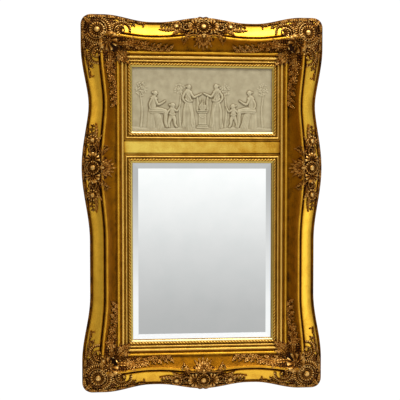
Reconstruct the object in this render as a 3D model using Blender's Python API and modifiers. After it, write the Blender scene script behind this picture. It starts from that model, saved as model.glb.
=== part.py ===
"""Gilt wall mirror with a relief plaque over a bevelled plate, in a swept frame.

Metres, +Z up. The back of the frame lies in the plane y = 0 and its face looks along -Y.
The origin is the middle of the back. A place on the frame is given as its distance out
from the sight, the inner edge of the frame, and its depth, the distance off the wall.
"""
import bmesh
import bpy
from math import cos, hypot, pi, radians, sin, sqrt
from mathutils import Vector

# Clearance between pieces that touch
GAP = 0.0003

# Bevelled mirror plate, a standard 16 by 20 inch size
PLATE_WIDTH = 0.4064
PLATE_HEIGHT = 0.510
PLATE_THICK = 0.006
BEVEL_WIDTH = 0.0254
BEVEL_DROP = 0.0022

# Relief plaque over the plate, as tall as its rebates
PLAQUE_HEIGHT = 0.1955

# Board that closes the back, and how far it laps under the outer mouldings
BOARD_THICK = 0.006
BOARD_LAP = 0.010

# Sight moulding round each opening: fillet, rope bead, reed
REBATE = 0.0095
REBATE_PLAY = 0.0005
FILLET_WIDTH = 0.0045
FILLET_STEP = 0.0006
ROPE_WIDTH = 0.0065
REED_WIDTH = 0.005
GROOVE_WIDTH = 0.0032
ROPE_SHOULDER_OUT = 0.0016
ROPE_SHOULDER_DROP = 0.0006
FILLET_EDGE_RISE = 0.005
FILLET_RISE = 0.0074
ROPE_RISE = 0.0096
REED_RISE = 0.0100
GROOVE_RISE = 0.0060

# Flat crossbar between the two openings, and the bead that borders both
CROSSBAR_WIDTH = 0.0400
CROSSBAR_DEPTH = 0.0205
CROSSBAR_EDGE = 0.0022
CROSSBAR_GROOVE = 0.0026
LINER_WIDTH = 0.0083
LINER_DEPTH = 0.0235
LINER_SHOULDER = 0.0190

# Outer moulding, from the sight outwards: bead, cove, ridge, groove, panel, rim
BEAD_QUIRK = 0.0035
BEAD_WIDTH = 0.0080
BEAD_FLOOR = 0.0200
BEAD_DEPTH = 0.0270
COVE_FOOT = 0.0235
COVE_CURVE = 1.7
RIDGE_PLACE = 0.0675
RIDGE_HALF = 0.0042
RIDGE_DEPTH = 0.0580
RIDGE_SHOULDER = 0.0530
GROOVE_OUT = 0.0070
GROOVE_DEPTH = 0.0475
PANEL_START = 0.0100
PANEL_HIGH = 0.0500
PANEL_LOW = 0.0340
PANEL_SAG = 0.36
RIM_WIDTH = 0.0060
RIM_DEPTH = 0.0355
RIM_EDGE = 0.0270
BACK_INSET = 0.0070

# Swept outline: how wide the frame is out from the sight
CORNER_WIDTH = 0.1380
CORNER_RADIUS = 0.0280
SIDE_WAIST = 0.1155
SIDE_SWELL = 0.1370
SIDE_SWELL_HEIGHT = 0.1000
SIDE_SWELL_REACH = 0.2000
SIDE_CORNER_REACH = 0.1850
SIDE_CORNER_START = 0.0550
END_WAIST = 0.1190
END_SWELL = 0.1335
END_SWELL_REACH = 0.1250
END_CORNER_REACH = 0.1300
END_CORNER_START = 0.0780
RIDGE_FOLLOW = 0.60

# Where the outer mouldings get a cross-section
END_STEPS = 12
SIDE_STEPS = 18
ROUND_STEPS = 3
COVE_STEPS = 2

# Applied ornaments: how deep a lump is let into what carries it before it is cut to fit,
# the grain at which the lumps are fused, the home point they are fused about, as a distance
# along from the sight corner or the middle, and the faces that a casting keeps. ACROSS is how
# many units of a casting's drawing make up the frame's width at a corner or a side's swell
SINK = 0.0060
CUT_BACK = 0.0100
SMOOTH_REACH = 0.0060
EDGE_SHARE = 0.50
FUSE_GRAIN = 0.0026
CASTING_CLEARANCE = 0.0006
CORNER_FACES = 440
CENTRE_FACES = 250
SOFTEN_ROUNDS = 3
HOME_ALONG = 0.0007
FLAT_ANGLE = 1.5
RELIEF_GRAIN = 0.0018
RELIEF_FACES = 560
RELIEF_SINK = 0.0030
ACROSS = 138
END_ACROSS = 134

# Worked out from the sizes above
CORNER_UNIT = CORNER_WIDTH / ACROSS
SIDE_UNIT = SIDE_SWELL / ACROSS
END_UNIT = END_SWELL / END_ACROSS
SEAT = BOARD_THICK + GAP
SIGHT_DROP = BEVEL_DROP * (BEVEL_WIDTH - REBATE) / BEVEL_WIDTH
LIP = SEAT + PLATE_THICK - SIGHT_DROP + GAP
PLAQUE_THICK = LIP - GAP - SEAT
SIGHT_WIDTH = FILLET_WIDTH + ROPE_WIDTH + REED_WIDTH + 2 * GROOVE_WIDTH
LINER_IN = SIGHT_WIDTH + GAP
RAIL_IN = LINER_IN + LINER_WIDTH + GAP
HALF_X = PLATE_WIDTH / 2 - REBATE
MIRROR_OPEN = PLATE_HEIGHT - 2 * REBATE
PLAQUE_OPEN = PLAQUE_HEIGHT - 2 * REBATE
DIVIDER = 2 * SIGHT_WIDTH + 2 * GAP + CROSSBAR_WIDTH
HALF_Z = (MIRROR_OPEN + DIVIDER + PLAQUE_OPEN) / 2
MIRROR_Z = -HALF_Z + MIRROR_OPEN / 2
PLAQUE_Z = HALF_Z - PLAQUE_OPEN / 2
CROSSBAR_Z = MIRROR_Z + MIRROR_OPEN / 2 + DIVIDER / 2


def clear_scene():
    for old in list(bpy.data.objects):
        bpy.data.objects.remove(old, do_unlink=True)


def new_collection(name):
    group = bpy.data.collections.new(name)
    bpy.context.scene.collection.children.link(group)
    return group


def material(name, colour, roughness, metallic):
    made = bpy.data.materials.new(name)
    made.use_nodes = True
    shader = made.node_tree.nodes["Principled BSDF"]
    shader.inputs["Base Color"].default_value = (*colour, 1.0)
    shader.inputs["Roughness"].default_value = roughness
    shader.inputs["Metallic"].default_value = metallic
    made.diffuse_color = (*colour, 1.0)
    return made


def add_object(name, bm, finish, group):
    bmesh.ops.recalc_face_normals(bm, faces=bm.faces)
    mesh = bpy.data.meshes.new(name)
    bm.to_mesh(mesh)
    bm.free()
    mesh.materials.append(finish)
    made = bpy.data.objects.new(name, mesh)
    group.objects.link(made)
    return made


def hide_cutter(cutter):
    cutter.hide_render = True
    cutter.display_type = "WIRE"


# Swept outline

def swell(distance, reach):
    if abs(distance) >= reach:
        return 0.0
    return (1 + cos(pi * distance / reach)) / 2


def side_width(z):
    """Width of a side moulding at a height, before its corners are rounded."""
    corner = swell(max(HALF_Z + SIDE_CORNER_START - abs(z), 0.0), SIDE_CORNER_REACH)
    middle = swell(z - SIDE_SWELL_HEIGHT, SIDE_SWELL_REACH)
    return SIDE_WAIST + (CORNER_WIDTH - SIDE_WAIST) * corner + (SIDE_SWELL - SIDE_WAIST) * middle


def end_width(x):
    """Width of the top or bottom moulding, before its corners are rounded."""
    corner = swell(max(HALF_X + END_CORNER_START - abs(x), 0.0), END_CORNER_REACH)
    middle = swell(x, END_SWELL_REACH)
    return END_WAIST + (CORNER_WIDTH - END_WAIST) * corner + (END_SWELL - END_WAIST) * middle


def corner_cut(along, half):
    """What the rounded corner takes off the width near the end of a moulding."""
    past = abs(along) - (half + CORNER_WIDTH - CORNER_RADIUS)
    if past <= 0:
        return 0.0
    past = min(past, CORNER_RADIUS)
    return CORNER_RADIUS - sqrt(CORNER_RADIUS ** 2 - past ** 2)


# Cross-section of the outer moulding, as distance out from the sight and depth

def rail_front(width, cut):
    ridge = RIDGE_PLACE + RIDGE_FOLLOW * (width - SIDE_WAIST)
    edge = width - cut
    bead = RAIL_IN + BEAD_QUIRK
    foot = bead + BEAD_WIDTH
    cove_end = ridge - RIDGE_HALF
    panel = ridge + PANEL_START
    points = [(RAIL_IN, BEAD_FLOOR), (bead, BEAD_FLOOR)]
    points += [(bead + BEAD_WIDTH / 2, BEAD_DEPTH), (foot, COVE_FOOT)]
    for step in range(1, COVE_STEPS + 1):
        share = step / (COVE_STEPS + 1)
        rise = (RIDGE_SHOULDER - COVE_FOOT) * share ** COVE_CURVE
        points.append((foot + (cove_end - foot) * share, COVE_FOOT + rise))
    points += [(cove_end, RIDGE_SHOULDER), (ridge, RIDGE_DEPTH)]
    points += [(ridge + RIDGE_HALF, RIDGE_SHOULDER), (ridge + GROOVE_OUT, GROOVE_DEPTH)]
    points += [(panel, PANEL_HIGH)]
    panel_end = edge - RIM_WIDTH
    middle = (panel + panel_end) / 2
    points += [(middle, PANEL_HIGH - (PANEL_HIGH - PANEL_LOW) * PANEL_SAG), (panel_end, PANEL_LOW)]
    points += [(edge - RIM_WIDTH / 2, RIM_DEPTH), (edge, RIM_EDGE)]
    return points


def rail_section(width, cut):
    edge = width - cut
    back = [(edge - BACK_INSET, 0.0), (RAIL_IN + BOARD_LAP, 0.0)]
    back += [(RAIL_IN + BOARD_LAP, SEAT), (RAIL_IN, SEAT)]
    return rail_front(width, cut) + back


def cutter_section(width, cut):
    """The moulding with a clearance added and its narrow hollows bridged, reaching to the wall."""
    points = rail_front(width, cut)
    cove_end = 4 + COVE_STEPS
    kept = [(RAIL_IN, BEAD_DEPTH)] + points[2:cove_end + 3] + [points[cove_end + 4]]
    kept += [points[cove_end + 5]] + points[-2:]
    front = [(out, depth + CASTING_CLEARANCE) for out, depth in kept]
    edge = front[-1][0] + CASTING_CLEARANCE
    front[-1] = (edge, front[-1][1])
    return front + [(edge, -CUT_BACK), (RAIL_IN, -CUT_BACK)]


def sight_front():
    rope = FILLET_WIDTH + ROPE_WIDTH / 2
    reed = FILLET_WIDTH + ROPE_WIDTH + GROOVE_WIDTH
    points = [(0.0, FILLET_EDGE_RISE), (FILLET_WIDTH, FILLET_RISE)]
    points += [(FILLET_WIDTH + FILLET_STEP, GROOVE_RISE)]
    shoulder = ROPE_RISE - ROPE_SHOULDER_DROP
    points += [(rope - ROPE_SHOULDER_OUT, shoulder), (rope, ROPE_RISE), (rope + ROPE_SHOULDER_OUT, shoulder)]
    points += [(FILLET_WIDTH + ROPE_WIDTH, GROOVE_RISE), (reed, GROOVE_RISE)]
    points += [(reed + REED_WIDTH / 2, REED_RISE), (reed + REED_WIDTH, GROOVE_RISE)]
    points += [(SIGHT_WIDTH, GROOVE_RISE)]
    return [(out, LIP + rise) for out, rise in points]


def sight_section():
    step = REBATE + REBATE_PLAY
    return sight_front() + [(SIGHT_WIDTH, SEAT), (step, SEAT), (step, LIP), (0.0, LIP)]


def liner_front():
    end = LINER_IN + LINER_WIDTH
    points = [(LINER_IN, LINER_SHOULDER), (LINER_IN + LINER_WIDTH * 0.25, LINER_DEPTH - 0.001)]
    points += [(LINER_IN + LINER_WIDTH * 0.55, LINER_DEPTH), (end, LINER_SHOULDER)]
    return points


def liner_section():
    return liner_front() + [(LINER_IN + LINER_WIDTH, SEAT), (LINER_IN, SEAT)]


# Mitred lengths

def placed(side, along, out, depth, half_x, half_z, mid_z):
    """A point of a moulding's length on one side of an opening."""
    if side == "top":
        return Vector((along, -depth, mid_z + half_z + out))
    if side == "bottom":
        return Vector((along, -depth, mid_z - half_z - out))
    if side == "left":
        return Vector((-half_x - out, -depth, mid_z + along))
    return Vector((half_x + out, -depth, mid_z + along))


def mitre(bm, side, half_x, half_z, mid_z, gap):
    """Cut both ends of a length at 45 degrees through the corners of the opening."""
    outward = {"top": (0, 1), "bottom": (0, -1), "left": (-1, 0), "right": (1, 0)}[side]
    for end in (-1, 1):
        corner_x = outward[0] * half_x + (end * half_x if outward[0] == 0 else 0)
        corner_z = outward[1] * half_z + (end * half_z if outward[1] == 0 else 0)
        keep = Vector((outward[0], 0, outward[1]))
        keep -= Vector((end if outward[0] == 0 else 0, 0, end if outward[1] == 0 else 0))
        keep.normalize()
        point = Vector((corner_x, 0, mid_z + corner_z)) + keep * gap / 2
        geometry = bm.verts[:] + bm.edges[:] + bm.faces[:]
        cut = bmesh.ops.bisect_plane(bm, geom=geometry, plane_co=point, plane_no=keep, clear_inner=True)
        rim = [item for item in cut["geom_cut"] if isinstance(item, bmesh.types.BMEdge)]
        bmesh.ops.edgeloop_fill(bm, edges=rim)


def loft(sections):
    """Join closed cross-sections, all with as many points, into one solid."""
    bm = bmesh.new()
    rings = [[bm.verts.new(point) for point in section] for section in sections]
    for near, far in zip(rings, rings[1:]):
        for i in range(len(near)):
            j = (i + 1) % len(near)
            bm.faces.new((near[i], near[j], far[j], far[i]))
    bmesh.ops.triangulate(bm, faces=bm.faces, quad_method="FIXED")
    bm.faces.new(rings[0])
    bm.faces.new(rings[-1][::-1])
    return bm


def rail_stations(half, steps):
    """Places along an outer moulding, closer together where its corner is rounded."""
    start = half + CORNER_WIDTH - CORNER_RADIUS
    even = [-start + 2 * start * i / steps for i in range(steps + 1)]
    round_end = [start + CORNER_RADIUS * sin(radians(90) * i / ROUND_STEPS) for i in range(1, ROUND_STEPS)]
    round_end.append(start + CORNER_RADIUS)
    return [-along for along in reversed(round_end)] + even + round_end


def outer_length(side, section, gap):
    is_end = side in ("top", "bottom")
    half, steps = (HALF_X, END_STEPS) if is_end else (HALF_Z, SIDE_STEPS)
    width_at = end_width if is_end else side_width
    rings = []
    for along in rail_stations(half, steps):
        profile = section(width_at(along), corner_cut(along, half))
        rings.append([placed(side, along, out, depth, HALF_X, HALF_Z, 0.0) for out, depth in profile])
    bm = loft(rings)
    mitre(bm, side, HALF_X, HALF_Z, 0.0, gap)
    return bm


def straight_length(side, profile, half_x, half_z, mid_z, gap):
    half = (half_x if side in ("top", "bottom") else half_z) + max(out for out, depth in profile)
    rings = []
    for along in (-half, half):
        rings.append([placed(side, along, out, depth, half_x, half_z, mid_z) for out, depth in profile])
    bm = loft(rings)
    mitre(bm, side, half_x, half_z, mid_z, gap)
    return bm


# Surface that an ornament lies on

def profile_depth(points, out):
    for (out_a, depth_a), (out_b, depth_b) in zip(points, points[1:]):
        if out <= out_b:
            share = (out - out_a) / max(out_b - out_a, 1e-9)
            return depth_a + (depth_b - depth_a) * min(max(share, 0.0), 1.0)
    return points[-1][1]


def frame_depth(x, z):
    """Depth of the frame's face, evened out so that a casting bridges the narrow grooves."""
    out_x = abs(x) - HALF_X
    out_z = abs(z) - HALF_Z
    if out_z >= out_x:
        out, width, cut = out_z, end_width(x), corner_cut(x, HALF_X)
    else:
        out, width, cut = out_x, side_width(z), corner_cut(z, HALF_Z)
    front = sight_front() + liner_front() + rail_front(width, cut)
    reach = (-SMOOTH_REACH, 0.0, SMOOTH_REACH)
    return sum(profile_depth(front, out + step) for step in reach) / len(reach)


class Carving:
    """Closed lumps of one casting or relief, which are fused afterwards."""

    def __init__(self, unit, place, ground, sink):
        self.bm = bmesh.new()
        self.unit = unit
        self.place = place
        self.ground = ground
        self.sink = -sink / unit

    def point(self, u, v, height):
        x, z = self.place(u * self.unit, v * self.unit)
        return self.bm.verts.new((x, -self.ground(x, z) - height * self.unit, z))

    def close(self, faces):
        bmesh.ops.recalc_face_normals(self.bm, faces=faces)

    def stem(self, path, widths, heights):
        """A tapered ridge along a path, four-sided and pointed at both ends."""
        faces = []
        rings = []
        for i in range(1, len(path) - 1):
            du = path[i + 1][0] - path[i - 1][0]
            dv = path[i + 1][1] - path[i - 1][1]
            size = hypot(du, dv)
            nu, nv = -dv / size * widths[i - 1], du / size * widths[i - 1]
            u, v = path[i]
            high = heights[i - 1]
            low = high * EDGE_SHARE
            ring = [self.point(u + nu, v + nv, low), self.point(u, v, high)]
            ring += [self.point(u - nu, v - nv, low), self.point(u, v, self.sink)]
            rings.append(ring)
        first = self.point(*path[0], heights[0] * EDGE_SHARE)
        last = self.point(*path[-1], heights[-1] * EDGE_SHARE)
        for i in range(4):
            j = (i + 1) % 4
            faces.append(self.bm.faces.new((first, rings[0][i], rings[0][j])))
            faces.append(self.bm.faces.new((rings[-1][j], rings[-1][i], last)))
            for near, far in zip(rings, rings[1:]):
                faces.append(self.bm.faces.new((near[i], far[i], far[j], near[j])))
        self.close(faces)

    def leaf(self, start, end, width, height, bend=0.0, lobes=1):
        """A pointed leaf from its stalk to its tip, bent sideways by a share of its length."""
        du, dv = end[0] - start[0], end[1] - start[1]
        count = 2 * lobes + 1
        path = []
        widths = []
        heights = []
        for i in range(count + 1):
            share = i / count
            aside = bend * sin(pi * share)
            path.append((start[0] + du * share - dv * aside, start[1] + dv * share + du * aside))
            if 0 < i < count:
                notch = 1.0 if i % 2 else 0.74
                widths.append(width * notch * (1 - 0.25 * share))
                heights.append(height * (0.75 + 0.25 * sin(pi * share)))
        if lobes == 0:
            middle = ((path[0][0] + path[1][0]) / 2 - dv * bend, (path[0][1] + path[1][1]) / 2 + du * bend)
            path.insert(1, middle)
            widths.append(width)
            heights.append(height)
        self.stem(path, widths, heights)

    def scroll(self, centre, start_radius, end_radius, start_angle, turn, width, height, steps=8):
        """A ridge that curls round a centre, thickest in the middle of its run."""
        path = []
        for i in range(steps + 1):
            share = i / steps
            radius = start_radius + (end_radius - start_radius) * share
            angle = radians(start_angle + turn * share)
            path.append((centre[0] + radius * cos(angle), centre[1] + radius * sin(angle)))
        inner = range(1, steps)
        widths = [width * (0.6 + 0.4 * sin(pi * i / steps)) for i in inner]
        heights = [height * (0.7 + 0.3 * sin(pi * i / steps)) for i in inner]
        self.stem(path, widths, heights)

    def fan(self, hub, radius, facing, spread, ribs, height, valley=0.8):
        """A ribbed shell or, with a spread of a full turn, a rosette."""
        full = spread >= 360
        count = 2 * ribs
        top = self.point(*hub, height * (1.0 if full else 0.5))
        keel = self.point(*hub, self.sink)
        rim = []
        for i in range(count if full else count + 1):
            angle = radians(facing - spread / 2 + spread * i / count)
            crest = i % 2 == 1
            reach = radius * (1.0 if crest else valley)
            rise = height * (0.75 if crest else 0.25)
            rim.append(self.point(hub[0] + reach * cos(angle), hub[1] + reach * sin(angle), rise))
        faces = []
        pairs = list(zip(rim, rim[1:])) + ([(rim[-1], rim[0])] if full else [])
        for near, far in pairs:
            faces.append(self.bm.faces.new((top, near, far)))
            faces.append(self.bm.faces.new((keel, far, near)))
        if not full:
            faces.append(self.bm.faces.new((top, keel, rim[0])))
            faces.append(self.bm.faces.new((top, rim[-1], keel)))
        self.close(faces)

    def boss(self, centre, radius, height, sides=8):
        """A smooth domed boss in a raised collar."""
        profile = [(0.72, height), (0.95, height * 0.45), (1.25, height * 0.85), (1.5, -2.0)]
        top = self.point(*centre, height * 1.2)
        keel = self.point(*centre, self.sink)
        rings = []
        for share, rise in profile:
            ring = []
            for i in range(sides):
                angle = 2 * pi * i / sides
                reach = radius * share
                ring.append(self.point(centre[0] + reach * cos(angle), centre[1] + reach * sin(angle), rise))
            rings.append(ring)
        faces = []
        for i in range(sides):
            j = (i + 1) % sides
            faces.append(self.bm.faces.new((top, rings[0][i], rings[0][j])))
            faces.append(self.bm.faces.new((keel, rings[-1][j], rings[-1][i])))
            for near, far in zip(rings, rings[1:]):
                faces.append(self.bm.faces.new((near[i], far[i], far[j], near[j])))
        self.close(faces)


def settle(made):
    """Turn an object's modifiers into its mesh."""
    graph = bpy.context.evaluated_depsgraph_get()
    mesh = bpy.data.meshes.new_from_object(made.evaluated_get(graph))
    made.modifiers.clear()
    made.data = mesh


def drop_crumbs(made):
    """Keep the largest connected body of a mesh."""
    bm = bmesh.new()
    bm.from_mesh(made.data)
    bm.verts.ensure_lookup_table()
    waiting = set(bm.verts)
    bodies = []
    while waiting:
        edge = [min(waiting, key=lambda v: v.index)]
        waiting.discard(edge[0])
        body = list(edge)
        while edge:
            near = edge.pop()
            for link in near.link_edges:
                far = link.other_vert(near)
                if far in waiting:
                    waiting.discard(far)
                    edge.append(far)
                    body.append(far)
        bodies.append(body)
    bodies.sort(key=len, reverse=True)
    crumbs = [v for body in bodies[1:] for v in body]
    bmesh.ops.delete(bm, geom=crumbs, context="VERTS")
    bm.to_mesh(made.data)
    bm.free()


def fuse(made, grain):
    """Melt overlapping lumps into one body."""
    melt = made.modifiers.new("melt", "REMESH")
    melt.mode = "VOXEL"
    melt.voxel_size = grain
    soften = made.modifiers.new("soften", "SMOOTH")
    soften.iterations = SOFTEN_ROUNDS
    settle(made)


def thin_out(made, faces):
    made.data.calc_loop_triangles()
    thin = made.modifiers.new("thin", "DECIMATE")
    thin.ratio = min(faces / len(made.data.loop_triangles), 1.0)
    settle(made)


def clean(made):
    """Join the faces that lie in one plane, and drop the vertices that only two edges share."""
    bm = bmesh.new()
    bm.from_mesh(made.data)
    for angle in (0.0, FLAT_ANGLE):
        bmesh.ops.dissolve_limit(bm, angle_limit=radians(angle), verts=bm.verts, edges=bm.edges)
        spare = [v for v in bm.verts if len(v.link_edges) == 2]
        bmesh.ops.dissolve_verts(bm, verts=spare)
    bm.to_mesh(made.data)
    bm.free()


def cut_away(made, beds):
    for bed in beds:
        cut = made.modifiers.new("fit", "BOOLEAN")
        cut.operation = "DIFFERENCE"
        cut.operand_type = "COLLECTION"
        cut.collection = bed
        cut.solver = "MANIFOLD"
    settle(made)
    clean(made)
    drop_crumbs(made)


def frame_bed(side, finish, cutters):
    """Cutters that stand for the mouldings of one side, with a clearance round them."""
    bed = bpy.data.collections.new(side + "_bed")
    cutters.children.link(bed)
    hide_cutter(add_object(side + "_bed_outer", outer_length(side, cutter_section, -GAP), finish, bed))
    top = LINER_DEPTH + CASTING_CLEARANCE
    reed = SIGHT_WIDTH - GROOVE_WIDTH - REED_WIDTH / 2
    rope = FILLET_WIDTH + ROPE_WIDTH / 4
    low = LIP + CASTING_CLEARANCE
    inner = [(0.0, low + FILLET_EDGE_RISE), (rope, low + ROPE_RISE), (reed, low + REED_RISE)]
    inner += [(LINER_IN + LINER_WIDTH / 4, top), (RAIL_IN + GAP, top)]
    inner += [(RAIL_IN + GAP, -CUT_BACK), (0.0, -CUT_BACK)]
    bm = straight_length(side, inner, HALF_X, HALF_Z, 0.0, -GAP)
    hide_cutter(add_object(side + "_bed_inner", bm, finish, bed))
    return bed


def move_mesh(made, offset):
    for v in made.data.vertices:
        v.co += offset


def fit_to_frame(made, faces, beds, home):
    """Fuse a casting at its own home point, thin out its faces, and cut it to fit the mouldings."""
    move_mesh(made, -home)
    fuse(made, FUSE_GRAIN)
    thin_out(made, faces)
    move_mesh(made, home)
    cut_away(made, beds)


def mirrored(action):
    """Do a thing once as it stands and once with its two coordinates changed over."""
    action(lambda u, v: (u, v), 1)
    action(lambda u, v: (v, u), -1)


def corner_ornament(sign_x, sign_z):
    """Corner casting: boss in scrolls, shell, leaf over the inner corner, rim and cove sprays.

    Places are in units out from the corner of the sight, with 138 units to the corner's width.
    """
    def place(u, v):
        return sign_x * (HALF_X + u), sign_z * (HALF_Z + v)

    work = Carving(CORNER_UNIT, place, frame_depth, SINK)
    work.boss((93, 93), 12, 8)
    work.fan((80, 80), 54, 45, 360, 6, 5, valley=1.0)
    work.fan((66, 66), 33, 225, 240, 6, 11)
    work.leaf((50, 50), (5, 5), 13, 9)
    work.leaf((106, 106), (131, 131), 15, 9, lobes=0)

    def half(turn, hand):
        def facing(angle):
            return angle if hand > 0 else 90 - angle

        def rim(u):
            width = end_width(HALF_X + u * work.unit) if hand > 0 else side_width(HALF_Z + u * work.unit)
            return width / work.unit

        work.leaf(turn(48, 42), turn(36, 6), 10, 8, bend=-0.12 * hand)
        work.scroll(turn(93, 93), 25, 20, facing(105), 135 * hand, 5.5, 9)
        work.scroll(turn(28, 92), 18, 6, facing(-10), 225 * hand, 5, 8, steps=10)
        work.leaf(turn(80, 86), turn(38, 84), 11, 9, bend=0.05 * hand)
        work.leaf(turn(60, 62), turn(-16, 68), 12, 9, bend=0.08 * hand)
        work.leaf(turn(40, 58), turn(-4, 50), 8, 7, bend=-0.1 * hand)
        for start, end, width in RIM_LEAVES:
            near = turn(start, rim(start) - RIM_LEAF_SET)
            far = turn(end, rim(end) - RIM_LEAF_SET - 1)
            work.leaf(near, far, width, 7, lobes=0)
        vine = [turn(u, 49 + 0.0009 * (u + 100) ** 2) for u in (24, 0, -33, -66, -104)]
        work.stem(vine, [4, 4, 3.5], [5.5, 5.5, 5])
        for start, end in COVE_LEAVES:
            work.leaf(turn(*start), turn(*end), 6, 7, lobes=0)
        for u, v, radius in COVE_FLOWERS:
            work.fan(turn(u, v), radius, 0, 360, 5, 8, valley=0.6)

    mirrored(half)
    return work


def centre_ornament(unit, place, rim_at):
    """Middle casting: boss in cups and leaves on the panel, two volutes and a palmette.

    Places are in units along the moulding and out from the sight.
    """
    work = Carving(unit, place, frame_depth, SINK)
    work.boss((0, 106), 11, 8)
    work.fan((0, 94), 38, 0, 360, 6, 5, valley=1.0)
    work.fan((0, 80), 36, 270, 130, 5, 10)
    for hand in (-1, 1):
        work.fan((22 * hand, 106), 20, 90 - 90 * hand, 220, 4, 9)
        work.scroll((0, 106), 22, 19, 90 + 60 * hand, -100 * hand, 4, 8, steps=6)
        work.stem([(20 * hand, 98), (44 * hand, 96), (70 * hand, 104), (86 * hand, 112)], [7, 5], [8, 7])
        work.fan((74 * hand, 111), 11, 0, 360, 5, 8, valley=0.65)
        work.leaf((62 * hand, 102), (124 * hand, 99), 9, 8, bend=-0.06 * hand)
        work.leaf((50 * hand, 97), (88 * hand, 79), 9, 8, bend=0.1 * hand)
        work.stem([(2 * hand, 66), (10 * hand, 77), (30 * hand, 81), (50 * hand, 76), (60 * hand, 66)],
                  [4.5, 5.5, 4.5], [8, 9, 8])
        work.leaf((34 * hand, 94), (50 * hand, 74), 6, 8, lobes=0)
        for start, end, width in ((-6, 34, 9), (28, 62, 8), (56, 88, 7)):
            near = (start * hand, rim_at(start * hand * unit) / unit - CENTRE_LEAF_SET)
            far = (end * hand, rim_at(end * hand * unit) / unit - CENTRE_LEAF_SET - 1)
            work.leaf(near, far, width, 7, lobes=0)
    return work


# Rim leaves as start, end and width, how far their stalks are set in from the rim, and the
# spray in the cove as places out from the sight corner
RIM_LEAF_SET = 6
CENTRE_LEAF_SET = 8
RIM_LEAVES = ((128, 96, 10), (102, 68, 9), (74, 42, 8), (48, 16, 7), (22, -10, 6), (-6, -36, 5))
COVE_LEAVES = (((-2, 60), (-24, 46)), ((-16, 54), (-40, 65)), ((-44, 53), (-66, 43)),
               ((-58, 50), (-80, 60)), ((-84, 51), (-106, 43)))
COVE_FLOWERS = ((-32, 54, 10), (-88, 50, 8))

# Frieze on the plaque: which figure, its place along the ground, its height and the way it faces
FRIEZE = (("seated", -128, 90, 1), ("child", -84, 66, 1), ("standing", -40, 116, 1),
          ("standing", 40, 118, -1), ("child", 86, 64, -1), ("seated", 128, 92, -1))
GROUND_HEIGHT = 18
PLAQUE_UNITS = 176.5

# Limbs of a figure as shares of its height: path, then half widths, then how far it stands out
STANDING = (
    (((0, 0.66), (0.01, 0.50), (0.03, 0.24), (0.06, 0.04), (0.07, 0.0)), (0.095, 0.105, 0.125), 4.6),
    (((0, 0.88), (0, 0.79), (0.01, 0.66), (0, 0.50)), (0.10, 0.08), 5.2),
    (((0.03, 0.82), (0.13, 0.71), (0.20, 0.74), (0.31, 0.78)), (0.034, 0.03), 4.4),
    (((-0.05, 0.82), (-0.13, 0.70), (-0.09, 0.60), (0.0, 0.55)), (0.036, 0.03), 3.4),
    (((-0.10, 0.62), (-0.13, 0.42), (-0.12, 0.18), (-0.15, 0.06)), (0.035, 0.03), 2.8),
)
SEATED = (
    (((-0.08, 0.96), (-0.09, 0.80), (-0.10, 0.60), (-0.08, 0.44)), (0.13, 0.12), 5.0),
    (((-0.14, 0.50), (0.0, 0.50), (0.20, 0.50), (0.32, 0.46)), (0.11, 0.09), 5.2),
    (((0.25, 0.54), (0.28, 0.38), (0.29, 0.14), (0.34, 0.0)), (0.08, 0.06), 4.6),
    (((0.02, 0.46), (0.06, 0.30), (0.08, 0.12), (0.10, 0.0)), (0.13, 0.14), 3.2),
    (((-0.12, 0.40), (-0.13, 0.30), (-0.13, 0.10), (-0.13, 0.0)), (0.14, 0.15), 2.6),
    (((-0.04, 0.84), (0.06, 0.68), (0.16, 0.72), (0.27, 0.80)), (0.045, 0.036), 4.6),
)
CHILD = (
    (((0, 0.84), (0, 0.72), (0, 0.56), (0, 0.40)), (0.14, 0.13), 4.6),
    (((0.03, 0.50), (0.10, 0.34), (0.12, 0.14), (0.20, 0.0)), (0.085, 0.06), 4.2),
    (((-0.03, 0.50), (-0.10, 0.32), (-0.14, 0.14), (-0.10, 0.0)), (0.085, 0.06), 3.6),
    (((0.05, 0.76), (0.20, 0.70), (0.28, 0.82), (0.34, 0.94)), (0.05, 0.045), 4.0),
    (((-0.05, 0.76), (-0.18, 0.66), (-0.22, 0.54), (-0.30, 0.46)), (0.05, 0.045), 3.2),
)
POSES = {"standing": (STANDING, (0.015, 0.94, 0.062)), "seated": (SEATED, (-0.04, 1.03, 0.082)),
         "child": (CHILD, (0.02, 0.90, 0.12))}


def frieze(work):
    """Figures either side of an altar, on a strip of ground."""
    half = HALF_X / work.unit
    ground = [(-half + 4, 8), (-half + 40, 9), (half - 40, 9), (half - 4, 8)]
    work.stem(ground, [7, 7], [2.6, 2.6])
    for pose, along, height, facing in FRIEZE:
        limbs, head = POSES[pose]
        for path, widths, rise in limbs:
            points = [(along + u * height * facing, GROUND_HEIGHT - 4 + v * height) for u, v in path]
            work.stem(points, [width * height for width in widths], [rise] * len(widths))
        centre = (along + head[0] * height * facing, GROUND_HEIGHT - 4 + head[1] * height)
        work.fan(centre, head[2] * height, 0, 360, 4, 4.8, valley=1.0)
    base = GROUND_HEIGHT - 8
    altar = [(0, base), (0, base + 8), (0, base + 30), (0, base + 56), (0, base + 60)]
    work.stem(altar, [16, 8, 17], [4.5] * 3)
    work.stem([(0, base + 54), (0, base + 62), (0, base + 74), (0, base + 92)], [8, 9], [3.5, 3.5])
    for side in (-1, 1):
        tree = side * 166
        work.stem([(tree, base), (tree, base + 20), (tree, base + 60), (tree, base + 90)], [3.5, 3], [3, 3])
        for lift, reach in ((50, -16), (58, 14), (72, -14), (80, 12), (88, -4)):
            work.leaf((tree, base + lift - 6), (tree + reach, base + lift + 12), 7, 3.4, lobes=0)


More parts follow.
